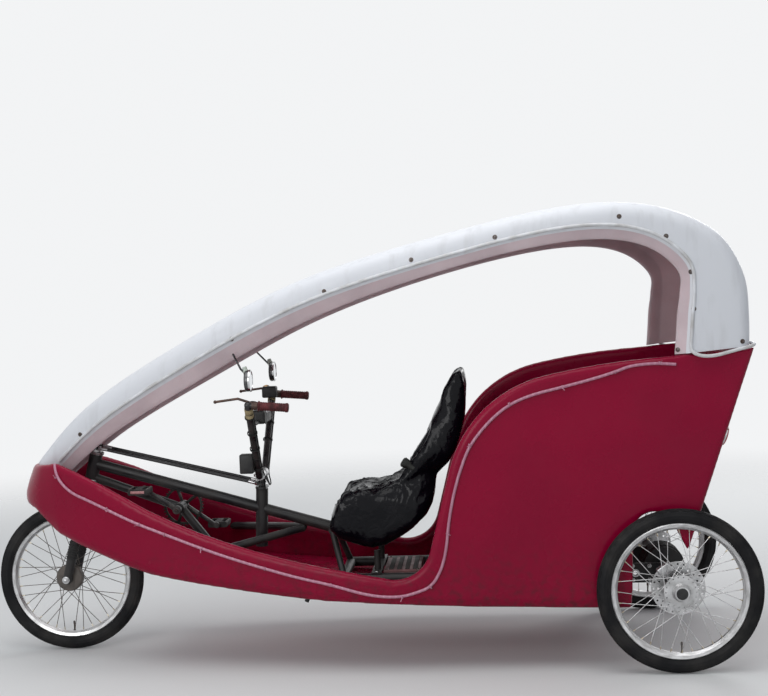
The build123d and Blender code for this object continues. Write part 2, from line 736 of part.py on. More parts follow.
tyre_solid = tyre()
rim_solid = rim()
outboard_hub = rear_hub()
WHEELS = [
    ("front", FRONT_X, 0.0, front_hub()),
    ("rear_left", REAR_X, -WHEEL_Y, Rot(180, 0, 0) * outboard_hub),
    ("rear_right", REAR_X, WHEEL_Y, outboard_hub),
]
for name, x, y, hub_solid in WHEELS:
    save(on_axle(x, y, tyre_solid), f"{name}_tyre")
    save(on_axle(x, y, rim_solid), f"{name}_rim")
    save(on_axle(x, y, hub_solid), f"{name}_hub")

# Brake calipers: a slotted body over each rear disc on an arm from the axle beam
CALIPER_ANGLE = 125.0
CALIPER_R = 84.0
CALIPER_SIZE = (52.0, 40.0)
CALIPER_SPREAD = 16.0
PAD_GAP = 1.6
ARM_PLATE = 10.0
ARM_EYE_R = 18.0
DISC_AT = WHEEL_Y - DISC_Y


def caliper(side):
    """One caliper with its arm."""
    turn = radians(CALIPER_ANGLE)
    middle = Vector(REAR_X + CALIPER_R * cos(turn), side * DISC_AT, AXLE_Z + CALIPER_R * sin(turn))
    body = Box(CALIPER_SIZE[0], 2 * CALIPER_SPREAD, CALIPER_SIZE[1])
    body = fillet(body.edges(), 6)
    body = Pos(*middle) * Rot(0, 90 - CALIPER_ANGLE, 0) * body
    slot = crossbar(Vector(REAR_X, side * DISC_AT, AXLE_Z), DISC_T / 2 + PAD_GAP, DISC_R + 3)
    inboard = side * (BEAM_END - ARM_PLATE)
    face = side * (DISC_AT - CALIPER_SPREAD)
    ear = Vector(REAR_X, (inboard + face) / 2, AXLE_Z)
    half = abs(inboard - face) / 2
    arm = crossbar(ear, half, BEAM_R + 12)
    reach = Vector(middle.X, ear.Y, middle.Z)
    strut_plane = Plane(origin=(ear + reach) * 0.5, x_dir=reach - ear, z_dir=(0, 1, 0))
    strut = strut_plane * Box((reach - ear).length, 2 * ARM_EYE_R - 2, 2 * half)
    arm = arm + crossbar(reach, half, ARM_EYE_R) + strut
    return body - slot + (arm - beam_bulk)


save(both_sides(caliper), "brake_calipers")

# Fork: two blades, a crown, a steerer through the head tube, and the axle
BLADE_Y = 62.0
BLADE_R = 15.0
CROWN_AT = TYRE_R + 83.0
CROWN_SIZE = (44.0, 28.0)
DROPOUT_R = 21.0
DROPOUT_T = 12.0
BOOT_R = 19.0
BOOT_LEN = 150.0
crown_point = AXLE_FRONT + FORK_AXIS * CROWN_AT
crown = Box(2 * (BLADE_Y + BLADE_R), CROWN_SIZE[0], CROWN_SIZE[1])
crown = fillet(crown.edges().filter_by(Axis.Z), 12)


def blade(side):
    """One fork blade with its thicker lower leg and dropout."""
    foot = AXLE_FRONT + ACROSS * side * BLADE_Y
    leg = rod(foot, foot + FORK_AXIS * (CROWN_AT + 6), BLADE_R)
    lower_leg = rod(foot, foot + FORK_AXIS * BOOT_LEN, BOOT_R)
    return leg + lower_leg + crossbar(foot, DROPOUT_T / 2, DROPOUT_R)


fork = rod(crown_point, HEAD_TOP + FORK_AXIS * 4, STEERER_R)
fork = fork + Plane(origin=crown_point, x_dir=(0, 1, 0), z_dir=FORK_AXIS) * crown
fork = fork + both_sides(blade) + crossbar(AXLE_FRONT, BLADE_Y + BOOT_R + 6, AXLE_R)
save(fork, "fork")


def crank_plate(base, axis, width):
    """A plate square to a steering axis, with a pin each side for the rods."""
    plane = Plane(origin=base, x_dir=(0, 1, 0), z_dir=axis)
    plate = plane * extrude(SlotOverall(2 * (ARM + 15), width), PLATE_T)
    for side in (-1, 1):
        foot = base + ACROSS * side * ARM
        plate = plate + rod(foot, foot + axis * (PLATE_T + PIN_UP), PIN_R)
    return plate


FORK_PLATE = HEAD_TOP + FORK_AXIS * (4 + GAP)
COLUMN_PLATE = COLUMN_TOP + COLUMN_AXIS * 4
save(crank_plate(FORK_PLATE, FORK_AXIS, 52), "steering_plate")

# Handlebar: column in the sleeve with its plate, two splayed uprights, grips and console
YOKE_RISE = 62.0
YOKE_HALF = 70.0
BAR_R = 15.0
GRIP_BAR_R = 11.0
GRIP_R = 17.0
GRIP_Y = 300.0
BAR_TOP = (COLUMN_BASE.X + 20, 1022.0)
GRIP_END = (COLUMN_BASE.X + 176, 1008.0)
YOKE = COLUMN_TOP + COLUMN_AXIS * YOKE_RISE
column = rod(COLUMN_BASE + COLUMN_AXIS * 10, YOKE, COLUMN_R) + crank_plate(COLUMN_PLATE, COLUMN_AXIS, 46)
save(column, "handlebar_column")


def upright_foot(side):
    """Where an upright stands on the yoke."""
    return YOKE + ACROSS * side * YOKE_HALF


def knee(side):
    """Where an upright turns back into the grip."""
    return Vector(BAR_TOP[0], side * GRIP_Y, BAR_TOP[1])


def grip_end(side):
    """The rear end of a grip."""
    return Vector(GRIP_END[0], side * GRIP_Y, GRIP_END[1])


def bar(side):
    """One upright with its backward grip bar."""
    joints = Pos(*upright_foot(side)) * Sphere(BAR_R) + Pos(*knee(side)) * Sphere(BAR_R)
    return rod(upright_foot(side), knee(side), BAR_R) + joints + rod(knee(side), grip_end(side), GRIP_BAR_R)


def grip(side):
    """One rubber grip with end flanges."""
    run = (grip_end(side) - knee(side)).normalized()
    start = knee(side) + run * 40
    sleeve_shape = tube(start, grip_end(side), GRIP_R, GRIP_BAR_R + FIT)
    return sleeve_shape + tube(start, start + run * 5, GRIP_R + 4, GRIP_BAR_R + FIT)


bars = crossbar(YOKE, YOKE_HALF, BAR_R) - rod(COLUMN_BASE, YOKE, COLUMN_R) + both_sides(bar)
save(bars, "handlebar")
save(both_sides(grip), "grips")

CONSOLE_SHARE = 0.72
CONSOLE_SIZE = (60.0, 170.0, 55.0)
CONSOLE_BAR_R = 9.0
CONSOLE_RISE = 18.0
console_left = upright_foot(-1) + (knee(-1) - upright_foot(-1)) * CONSOLE_SHARE
console_point = Vector(console_left.X, 0, console_left.Z)
console_box = fillet(Box(*CONSOLE_SIZE).edges(), 10)
console_bar = crossbar(console_point, -console_left.Y, CONSOLE_BAR_R)
save(console_bar + Pos(*(console_point + Vector(0, 0, CONSOLE_RISE))) * console_box - bars, "console")

# Brake levers: a clamp on each grip bar with a curved blade that points forward
LEVER_R = 5.0
LEVER_BEND = Vector(-70, 0, 24)
LEVER_TIP = Vector(-160, 0, 14)
CLAMP_L = 22.0


def lever(side):
    """One brake lever."""
    run = (grip_end(side) - knee(side)).normalized()
    start = knee(side) + run * (BAR_R + 1)
    pivot = start + run * (CLAMP_L / 2) + Vector(0, -side * (GRIP_BAR_R + 10), 4)
    clamp = tube(start, start + run * CLAMP_L, GRIP_BAR_R + 5, GRIP_BAR_R + FIT)
    perch = Pos(*pivot) * Sphere(9) - rod(knee(side), grip_end(side), GRIP_BAR_R + FIT)
    blade_shape = rod(pivot, pivot + LEVER_BEND, LEVER_R)
    blade_shape = blade_shape + rod(pivot + LEVER_BEND, pivot + LEVER_TIP, LEVER_R)
    joints = Pos(*(pivot + LEVER_BEND)) * Sphere(LEVER_R) + Pos(*(pivot + LEVER_TIP)) * Sphere(LEVER_R + 2)
    return clamp + perch + blade_shape + joints - rod(upright_foot(side), knee(side), BAR_R + GAP)


save(both_sides(lever), "brake_levers")

# Steering rods: one each side, from the fork's plate back to the column's plate
EYE_R = 10.0
EYE_T = 8.0
FRONT_LIFT = 16.0
REAR_LIFT = 20.0
for name, side in (("left", -1), ("right", 1)):
    front_eye = FORK_PLATE + FORK_AXIS * FRONT_LIFT + ACROSS * side * ARM
    rear_eye = COLUMN_PLATE + COLUMN_AXIS * REAR_LIFT + ACROSS * side * ARM
    run = (rear_eye - front_eye).normalized()
    link = rod(front_eye + run * 8, rear_eye - run * 8, ROD_R)
    link = link + rod(front_eye - FORK_AXIS * EYE_T / 2, front_eye + FORK_AXIS * EYE_T / 2, EYE_R)
    link = link + rod(rear_eye - COLUMN_AXIS * EYE_T / 2, rear_eye + COLUMN_AXIS * EYE_T / 2, EYE_R + 2)
    link = link - rod(front_eye - FORK_AXIS * PIN_UP, front_eye + FORK_AXIS * PIN_UP, PIN_R + FIT)
    link = link - rod(rear_eye - COLUMN_AXIS * PIN_UP, rear_eye + COLUMN_AXIS * PIN_UP, PIN_R + EYE_CLEARANCE)
    save(link, f"steering_rod_{name}")

# Crankset: spindle, tapered arms with pedal axles, and a toothed chainring on the right
ARM_T = 12.0
ARM_ROOT_R = 20.0
ARM_TIP_R = 14.0
PEDAL_AXLE_R = 5.0
RING_T = 4.0
RING_W = 22.0
RING_ARMS = 5
TOOTH_H = 5.0
SPINDLE_END = CRANK_Y + ARM_T


def crank_tip(side):
    """From the bracket to a pedal axle."""
    turn = radians(CRANK_ANGLE)
    return Vector(CRANK_LEN * cos(turn), 0, CRANK_LEN * sin(turn)) * -side


def crank_arm(side):
    """One arm, from its boss on the spindle to its pedal axle."""
    middle = BRACKET + ACROSS * side * (CRANK_Y + ARM_T / 2)
    eye = middle + crank_tip(side)
    turn = degrees(atan2(crank_tip(side).Z, crank_tip(side).X))
    taper = make_face(Polyline(
        (0, -ARM_ROOT_R), (CRANK_LEN, -ARM_TIP_R), (CRANK_LEN, ARM_TIP_R), (0, ARM_ROOT_R), close=True))
    arm = Pos(*middle) * Rot(0, -turn, 0) * Rot(90, 0, 0) * Pos(0, 0, -ARM_T / 2) * extrude(taper, ARM_T)
    arm = arm + crossbar(middle, ARM_T / 2, ARM_ROOT_R) + crossbar(eye, ARM_T / 2, ARM_TIP_R)
    axle_out = eye + ACROSS * side * (ARM_T / 2 + PEDAL_L - 8)
    return arm + rod(eye, axle_out, PEDAL_AXLE_R)


def tooth_outline():
    """The chainring's toothed edge: four points for each tooth."""
    points = []
    pitch = 2 * pi / TEETH
    for number in range(TEETH):
        for share, radius in ((0.0, CHAINRING_R - TOOTH_H), (0.3, CHAINRING_R - TOOTH_H),
                              (0.52, CHAINRING_R), (0.78, CHAINRING_R)):
            turn = (number + share) * pitch
            points.append((radius * cos(turn), radius * sin(turn)))
    return make_face(Polyline(*points, close=True))


ring = tooth_outline() - Circle(CHAINRING_R - RING_W)
for number in range(RING_ARMS):
    reach = CHAINRING_R - RING_W + 4
    ring = ring + Rot(0, 0, 360 / RING_ARMS * number) * Pos(reach / 2, 0) * Rectangle(reach, 15)
ring = ring + Circle(ARM_ROOT_R)
ring_solid = Pos(*(BRACKET + ACROSS * (CRANK_Y - 10))) * Rot(90, 0, 0) * extrude(ring, RING_T)
save(crossbar(BRACKET, SPINDLE_END, SPINDLE_R) + both_sides(crank_arm) + ring_solid, "crankset")

# Pedals: a barrel on the axle in an open cage
CAGE_T = 7.0
CAGE_ROUND = 6.0
BARREL_HALF = 14.0
for name, side in (("left", -1), ("right", 1)):
    eye = BRACKET + crank_tip(side)
    ends = span(side * (SPINDLE_END + 5), side * (SPINDLE_END + PEDAL_L))
    breadth = (eye.X - PEDAL_W / 2, eye.X + PEDAL_W / 2)
    cage = block(breadth, ends, (eye.Z - PEDAL_T / 2, eye.Z + PEDAL_T / 2))
    cage = fillet(cage.edges().filter_by(Axis.Y), CAGE_ROUND)
    for way in (-1, 1):
        window = span(eye.X + way * BARREL_HALF, eye.X + way * (PEDAL_W / 2 - CAGE_T))
        cage = cage - block(window, (ends[0] + CAGE_T, ends[1] - CAGE_T), (eye.Z - PEDAL_T, eye.Z + PEDAL_T))
    inner_end = eye + ACROSS * side * SPINDLE_END
    outer_end = eye + ACROSS * side * (SPINDLE_END + PEDAL_L - 6)
    save(cage - rod(inner_end, outer_end, PEDAL_AXLE_R + FIT), f"pedal_{name}")

# Rider's seat: one bucket seat on legs from the rails
SEAT_HALF = 190.0
SEAT_ROUND = 20.0
seat = outline(stretched([
    (-96.0, 520.0),
    ((-100, 610), (-50, 638)),
    ((60, 650), (165, 632)),
    ((215, 700), (301, 880)),
    (390, 1090),
    ((430, 1112), (440, 1045)),
    (336, 710),
    ((310, 600), (268, 533)),
    ((170, 440), (60, 404)),
    ((-30, 396), (-80, 430)),
]))
seat_solid = fillet(across(seat, -SEAT_HALF, SEAT_HALF).edges(), SEAT_ROUND)
save(seat_solid, "rider_seat")
LEG_FOOT = (along(-60), 150.0, RAIL_Z + 10)
LEG_HEAD = (SEAT_NODE.X + 17, 60.0, 478.0)
POST_X = along(75)
POST_Y = 110.0
POST_TOP = 425.0
CROSS_PLATE = 5.0


def seat_leg(side):
    """A slanted front leg and an upright rear post."""
    head_end = (LEG_HEAD[0], side * LEG_HEAD[1], LEG_HEAD[2])
    front = rod(head_end, (LEG_FOOT[0], side * LEG_FOOT[1], LEG_FOOT[2]), LEG_R)
    return front + rod((POST_X, side * POST_Y, RAIL_Z + RAIL_R), (POST_X, side * POST_Y, POST_TOP), LEG_R)


plate_half = RAIL_Y + 14
legs = both_sides(seat_leg) + crossbar(SEAT_NODE + Vector(15, 0, -5), 75, LEG_R)
legs = legs + block((POST_X - 20, POST_X + 20), (-plate_half, plate_half),
                    (RAIL_Z + RAIL_R - 4, RAIL_Z + RAIL_R + CROSS_PLATE))
save(legs - rails - main - seat_solid, "seat_legs")


# Braces from under the main tube out to the sills
BRACE_AT = along(-235)
BRACE_APART = 17.0
BRACE_DROP = 34.0
BRACE_END = (along(-640), wide(372), 438.0)


def brace(side):
    """One brace, cut off at the sill's inner face."""
    share = (BRACE_AT - MAIN_START.X) / (SEAT_NODE.X - MAIN_START.X)
    start = MAIN_START + (SEAT_NODE - MAIN_START) * share + Vector(0, side * BRACE_APART, -BRACE_DROP)
    return rod(start, (BRACE_END[0], side * BRACE_END[1], BRACE_END[2]), BRACE_R)


save((both_sides(brace) & between_walls) - main, "sill_braces")

# Mirrors on bent stalks from the roof
STALK_R = 4.0
MIRROR_R = 42.0
MIRROR_T = 22.0
STALK_TOP = (-455.0, 236.0, 1222.0)
STALK_KNEE = (-415.0, 300.0, 1165.0)
STALK_FOOT = (-392.0, 300.0, 1140.0)
MIRROR_AT = (-388.0, 300.0, 1118.0)


def place(point, side):
    """A drawn point of the roof's width, on one side."""
    return Vector(along(point[0]), side * wide(point[1]), point[2])


for name, side in (("left", -1), ("right", 1)):
    stalk = rod(place(STALK_TOP, side), place(STALK_KNEE, side), STALK_R)
    stalk = stalk + rod(place(STALK_KNEE, side), place(STALK_FOOT, side), STALK_R)
    head_shape = fillet(Cylinder(MIRROR_R, MIRROR_T).edges(), 8)
    mirror_solid = stalk + Pos(*place(MIRROR_AT, side)) * Rot(0, 90, 0) * head_shape
    save(mirror_solid - spine, f"mirror_{name}")

# Tail lamps on the rear panel and the stub under the floor
LAMP_R = 38.0
LAMP_T = 24.0
LAMP_Y = 330.0
LAMP_Z = 860.0
rear_run = Vector(REAR_TOP[0] - REAR_LOW[0], 0, REAR_TOP[1] - REAR_LOW[1]).normalized()
rear_out = Vector(rear_run.Z, 0, -rear_run.X)


def lamp(side):
    """One round lamp on the panel's outer face."""
    share = (LAMP_Z - REAR_LOW[1]) / (REAR_TOP[1] - REAR_LOW[1])
    foot = Vector(REAR_LOW[0] + share * (REAR_TOP[0] - REAR_LOW[0]), side * wide(LAMP_Y), LAMP_Z)
    shape = rod(foot + rear_out * GAP, foot + rear_out * LAMP_T, LAMP_R)
    return fillet(shape.edges().filter_by(GeomType.CIRCLE).sort_by(Axis.X)[-1:], 8)


save(both_sides(lamp), "tail_lamps")
save(rod((along(-181), -120, 284), (along(-218), -120, 205), 9) - floor, "floor_stub")
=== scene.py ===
import bmesh
import bpy
from math import atan2, cos, pi, radians, sin
from mathutils import Matrix, Vector, noise
from mathutils.bvhtree import BVHTree


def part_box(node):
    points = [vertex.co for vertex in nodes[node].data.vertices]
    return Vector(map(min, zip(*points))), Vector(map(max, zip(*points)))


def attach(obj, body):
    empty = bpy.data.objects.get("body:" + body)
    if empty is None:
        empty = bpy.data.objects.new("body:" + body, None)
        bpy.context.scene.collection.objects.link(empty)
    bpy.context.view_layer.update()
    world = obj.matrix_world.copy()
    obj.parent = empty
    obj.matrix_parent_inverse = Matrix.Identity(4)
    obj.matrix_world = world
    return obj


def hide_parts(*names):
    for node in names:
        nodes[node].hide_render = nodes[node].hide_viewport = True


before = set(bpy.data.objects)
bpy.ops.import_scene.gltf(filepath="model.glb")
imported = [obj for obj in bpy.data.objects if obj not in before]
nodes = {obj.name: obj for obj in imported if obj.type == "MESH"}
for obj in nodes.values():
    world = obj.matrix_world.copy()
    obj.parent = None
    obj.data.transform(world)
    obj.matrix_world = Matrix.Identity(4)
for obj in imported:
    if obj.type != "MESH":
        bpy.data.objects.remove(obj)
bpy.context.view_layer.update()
scene = bpy.context.scene

# The viewpoint: a 62 mm lens at standing eye height, five metres from the cab's left side
# and turned a little towards the nose.
EYE = Vector((0.524, -5.351, 1.433))
SENSOR = 36
LENS = 61.6
right = Vector((0.99665, 0.07281, -0.03724)).normalized()
above = Vector((0.03416, 0.04313, 0.99849)).normalized()
camera_data = bpy.data.cameras.new("camera")
camera_data.sensor_width = SENSOR
camera_data.lens = LENS
camera = bpy.data.objects.new("camera", camera_data)
scene.collection.objects.link(camera)
facing = Matrix((right, above, right.cross(above))).transposed().to_4x4()
camera.matrix_world = Matrix.Translation(EYE) @ facing
scene.camera = camera
scene.view_settings.view_transform = "Standard"

# The studio: three wide soft lamps, overhead, beside the camera and behind the cab, and a pale
# world that lights evenly and shows near white behind the cab and in its metal.
LAMPS = [
    # lamp, its place, what it aims at, its width, its power in watts
    ("overhead", (0.2, -0.6, 4.6), (0.1, 0.1, 0.6), 4.2, 118),
    ("beside", (-2.2, -4.8, 2.5), (0.0, 0.0, 0.8), 2.6, 74),
    ("behind", (2.8, 4.2, 3.0), (0.2, 0.0, 0.8), 2.6, 70),
]
WORLD = [
    # colour and strength of the world, as it lights and as it is seen
    ((0.86, 0.92, 1.0, 1), 0.42), ((0.94, 0.95, 0.96, 1), 0.95),
]
for name, place, target, size, power in LAMPS:
    light = bpy.data.lights.new(name, "AREA")
    light.size = size
    light.energy = power
    lamp = bpy.data.objects.new(name, light)
    scene.collection.objects.link(lamp)
    lamp.location = place
    lamp.rotation_euler = (Vector(target) - Vector(place)).to_track_quat("-Z", "Y").to_euler()
world = bpy.data.worlds.new("world")
scene.world = world
world.use_nodes = True
sky = world.node_tree
sky.nodes.clear()
pick = sky.nodes.new("ShaderNodeMixShader")
for socket, (colour, strength) in zip(pick.inputs[1:], WORLD):
    glow = sky.nodes.new("ShaderNodeBackground")
    glow.inputs["Color"].default_value = colour
    glow.inputs["Strength"].default_value = strength
    sky.links.new(glow.outputs[0], socket)
rays = sky.nodes.new("ShaderNodeLightPath")
shown = rays.outputs["Is Camera Ray"]
for ray in ("Is Glossy Ray", "Is Transmission Ray"):
    either = sky.nodes.new("ShaderNodeMath")
    either.operation = "MAXIMUM"
    either.use_clamp = True
    sky.links.new(shown, either.inputs[0])
    sky.links.new(rays.outputs[ray], either.inputs[1])
    shown = either.outputs[0]
sky.links.new(shown, pick.inputs["Fac"])
sky_out = sky.nodes.new("ShaderNodeOutputWorld")
sky.links.new(pick.outputs[0], sky_out.inputs["Surface"])

# The floor: a plain pale disc with a faint mottle, which keeps the cab's shadow and fades out
# into the world before its edge.
FLOOR_R = 13
FLOOR_FADE = (2.2, 7.0)
FLOOR_PAINT = (0.72, 0.72, 0.71)
FLOOR_MOTTLE = (0.70, 0.70, 0.69)


def mesh_of(shape, name):
    """The mesh of a finished shape."""
    mesh = bpy.data.meshes.new(name)
    shape.to_mesh(mesh)
    shape.free()
    return mesh


def surface(name, colour, roughness, metallic=0.0, coat=0.0, specular=0.32):
    """A new material, its shader and its object coordinates."""
    material = bpy.data.materials.new(name)
    material.use_nodes = True
    tree = material.node_tree
    shader = tree.nodes["Principled BSDF"]
    shader.inputs["Base Color"].default_value = (*colour, 1)
    shader.inputs["Roughness"].default_value = roughness
    shader.inputs["Metallic"].default_value = metallic
    shader.inputs["Coat Weight"].default_value = coat
    shader.inputs["Coat Roughness"].default_value = 0.12
    shader.inputs["Specular IOR Level"].default_value = 0.5 if metallic else specular
    return material, shader, tree.nodes.new("ShaderNodeTexCoord").outputs["Object"]


def fed(kind, source, **inputs):
    """A new node of a kind, fed by a source, with its other inputs set by their names."""
    tree = source.id_data
    node = tree.nodes.new(kind)
    tree.links.new(source, node.inputs[0])
    for name, value in inputs.items():
        node.inputs[name.replace("_", " ")].default_value = value
    return node


def grain(place, scale, detail=4.0, stretch=(1, 1, 1)):
    """A noise height on stretched object coordinates."""
    mapping = fed("ShaderNodeMapping", place, Scale=stretch)
    return fed("ShaderNodeTexNoise", mapping.outputs[0], Scale=scale, Detail=detail).outputs["Fac"]


def spread(height, low, high, start=0.35, end=0.65):
    """A height stretched from start and end to the values low and high."""
    limits = {"From_Min": start, "From_Max": end, "To_Min": low, "To_Max": high}
    return fed("ShaderNodeMapRange", height, **limits).outputs["Result"]


def between(share, first, second):
    """A colour between two colours or colour outputs, by a share."""
    tree = share.id_data
    mix = tree.nodes.new("ShaderNodeMix")
    mix.data_type = "RGBA"
    for target, colour in zip([socket for socket in mix.inputs if socket.type == "RGBA"], (first, second)):
        if isinstance(colour, tuple):
            target.default_value = (*colour, 1)
        else:
            tree.links.new(colour, target)
    factor = [socket for socket in mix.inputs if socket.name == "Factor" and socket.type == "VALUE"][0]
    tree.links.new(share, factor)
    return [socket for socket in mix.outputs if socket.type == "RGBA"][0]


def tint(shader, share, second):
    """Mix the shader's own colour with a second one, by a share."""
    base = shader.inputs["Base Color"]
    share.id_data.links.new(between(share, tuple(base.default_value)[:3], second), base)


shape = bmesh.new()
bmesh.ops.create_circle(shape, cap_ends=True, segments=64, radius=FLOOR_R)
mesh = mesh_of(shape, "floor")
floor = bpy.data.objects.new("floor", mesh)
scene.collection.objects.link(floor)
material, shader, place = surface("floor_paint", FLOOR_PAINT, 0.8)
tint(shader, spread(grain(place, 160, 2.0), 0, 1), FLOOR_MOTTLE)
tree = material.node_tree
reach = fed("ShaderNodeVectorMath", place)
reach.operation = "LENGTH"
fading = fed("ShaderNodeMapRange", reach.outputs["Value"], From_Min=FLOOR_FADE[0], From_Max=FLOOR_FADE[1])
fading.interpolation_type = "SMOOTHSTEP"
clear = tree.nodes.new("ShaderNodeBsdfTransparent")
fade = fed("ShaderNodeMixShader", fading.outputs["Result"])
tree.links.new(shader.outputs[0], fade.inputs[1])
tree.links.new(clear.outputs[0], fade.inputs[2])
tree.links.new(fade.outputs[0], tree.nodes["Material Output"].inputs["Surface"])
mesh.materials.append(material)

# The chassis: round steel tubes welded together and painted satin black, scuffed where shoes rub
# along them, with a cast drive housing and bright brake calipers and steering plate.


def relief(shader, height, depth, below=None):
    """A bump of a height, in metres, on top of another bump."""
    tree = shader.id_data
    bump = tree.nodes.new("ShaderNodeBump")
    bump.inputs["Strength"].default_value = 1.0
    bump.inputs["Distance"].default_value = depth
    tree.links.new(height, bump.inputs["Height"])
    if below is not None:
        tree.links.new(below, bump.inputs["Normal"])
    tree.links.new(bump.outputs["Normal"], shader.inputs["Normal"])
    return bump.outputs["Normal"]


def gloss(shader, height, low, high, start=0.35, end=0.65):
    """Let a height vary the roughness between two values."""
    height.id_data.links.new(spread(height, low, high, start, end), shader.inputs["Roughness"])


def worn(name, colour, dull, roughness, scale, depth, metallic=0.0, coat=0.0):
    """A finish with patches of a duller colour, uneven gloss and a fine grain."""
    material, shader, place = surface(name, colour, roughness, metallic, coat)
    patches = grain(place, scale, 6.0)
    tint(shader, spread(patches, 0, 1), dull)
    gloss(shader, patches, roughness * 0.8, min(1, roughness * 1.35))
    relief(shader, grain(place, scale * 14, 3.0), depth)
    return material


def wear(finish, *names):
    """Give CAD nodes a finish."""
    for name in names:
        nodes[name].data.materials.clear()
        nodes[name].data.materials.append(finish)


chassis_paint = worn("chassis_paint", (0.012, 0.012, 0.014), (0.035, 0.033, 0.031), 0.42, 9, 0.0002)
wear(chassis_paint, "head_tube", "main_tube", "lower_tube", "bottom_bracket", "column_sleeve", "floor_rails",
     "sill_braces", "seat_legs", "rear_axle", "axle_brackets", "floor_stub")
cast_paint = worn("cast_paint", (0.03, 0.031, 0.033), (0.055, 0.053, 0.05), 0.55, 22, 0.0005)
wear(cast_paint, "drive_housing")
bright_metal = worn("bright_metal", (0.55, 0.55, 0.56), (0.36, 0.36, 0.36), 0.32, 18, 0.00015, 1.0)
wear(bright_metal, "brake_calipers", "steering_plate")

# The body: thick rotomoulded plastic coloured right through, glossy, and painted darker in patches low
# down as shade where its sides curve under. Its nose, sills, sides and rear panel are moulded as one.
BODY_RED = (0.26, 0.0004, 0.027)
BODY_DULL = (0.205, 0.0006, 0.023)
LOW_SHADE = (0.085, 0.014, 0.021)
LOW_SHADE_Z = (0.24, 0.52)
BODY_NODES = ["nose_cowl", "sill_left", "sill_right", "cabin_side_left", "cabin_side_right", "rear_panel"]
BODY_VOXEL = 0.009
BODY_KEPT = 0.55
body_plastic, shader, place = surface("body_plastic", BODY_RED, 0.34, specular=0.16)
plain = between(spread(grain(place, 2.6, 5.0), 0, 0.6), BODY_RED, BODY_DULL)
height = fed("ShaderNodeSeparateXYZ", place).outputs["Z"]
# Painted shade: the body turns a darker crimson in uneven patches towards the bottom.
low_shade = fed("ShaderNodeMath", spread(height, 1, 0, *LOW_SHADE_Z))
low_shade.operation = "MULTIPLY"
tree = body_plastic.node_tree
tree.links.new(spread(grain(place, 38, 6.0), 0, 0.9, 0.45, 0.75), low_shade.inputs[1])
tree.links.new(between(low_shade.outputs[0], plain, LOW_SHADE), shader.inputs["Base Color"])
gloss(shader, grain(place, 7, 6.0), 0.19, 0.33)
swell = relief(shader, grain(place, 5, 2.0), 0.002)
relief(shader, grain(place, 420, 2.0), 0.00012, swell)
wear(body_plastic, "tub_floor", "bench_base")


def piece(name, mesh, material, body):
    """A finished piece from a mesh, with its material, riding on a body."""
    thing = bpy.data.objects.new(name, mesh)
    scene.collection.objects.link(thing)
    if material is not None:
        mesh.materials.clear()
        mesh.materials.append(material)
    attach(thing, body)
    return thing


def copy_of(name, names):
    """One mesh of the merged copies of some CAD nodes."""
    shape = bmesh.new()
    for node in names:
        shape.from_mesh(nodes[node].data)
    bmesh.ops.remove_doubles(shape, verts=shape.verts, dist=0.00002)
    return mesh_of(shape, name)


def blended(thing, voxel, rounds):
    """Melt a piece's parts into one even skin and smooth it some rounds."""
    blend = thing.modifiers.new("blend", "REMESH")
    blend.mode = "VOXEL"
    blend.voxel_size = voxel
    soften = thing.modifiers.new("soften", "SMOOTH")
    soften.factor = 0.5
    soften.iterations = rounds


def settle(thing):
    """Apply every modifier of a piece."""
    depsgraph = bpy.context.evaluated_depsgraph_get()
    mesh = bpy.data.meshes.new_from_object(thing.evaluated_get(depsgraph))
    thing.modifiers.clear()
    thing.data = mesh
    return mesh


shell = piece("body_shell", copy_of("body_shell", BODY_NODES), body_plastic, "chassis")
blended(shell, BODY_VOXEL, 6)
thin = shell.modifiers.new("thin", "DECIMATE")
thin.ratio = BODY_KEPT
settle(shell).shade_smooth()
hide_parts(*BODY_NODES)
step_plastic = worn("step_plastic", (0.17, 0.07, 0.07), (0.09, 0.05, 0.05), 0.6, 14, 0.0004)
wear(step_plastic, "step_box")

# The roof: a white moulded shell, grimy in streaks down its sides, with a lip that rolls in to a
# flange, and inner faces painted pale pink as the red body's reflected light and light through the shell.
ROOF_WHITE = (0.70, 0.71, 0.74)
ROOF_GRIME = (0.42, 0.41, 0.41)
LINING_BOUNCE_PINK = (0.70, 0.58, 0.60)
LINING_STAIN = (0.58, 0.47, 0.49)
roof_white, shader, place = surface("roof_white", ROOF_WHITE, 0.4)
streaks = grain(place, 15, 8.0, (1.6, 1.6, 0.3))
tint(shader, spread(streaks, 0, 0.4, 0.54, 0.85), ROOF_GRIME)
gloss(shader, grain(place, 9, 5.0), 0.32, 0.55)
swell = relief(shader, grain(place, 4, 2.0), 0.003)
relief(shader, grain(place, 300, 2.0), 0.0001, swell)
# Painted reflected light: the lining's pale pink stands for the red body's bounce and light through the
# shell.
lining, shader, place = surface("roof_lining", LINING_BOUNCE_PINK, 0.55)
shader.inputs["Subsurface Weight"].default_value = 0.4
shader.inputs["Subsurface Radius"].default_value = (1.0, 0.7, 0.7)
shader.inputs["Subsurface Scale"].default_value = 0.03
tint(shader, spread(grain(place, 5, 6.0), 0, 1), LINING_STAIN)
relief(shader, grain(place, 60, 4.0), 0.0006)
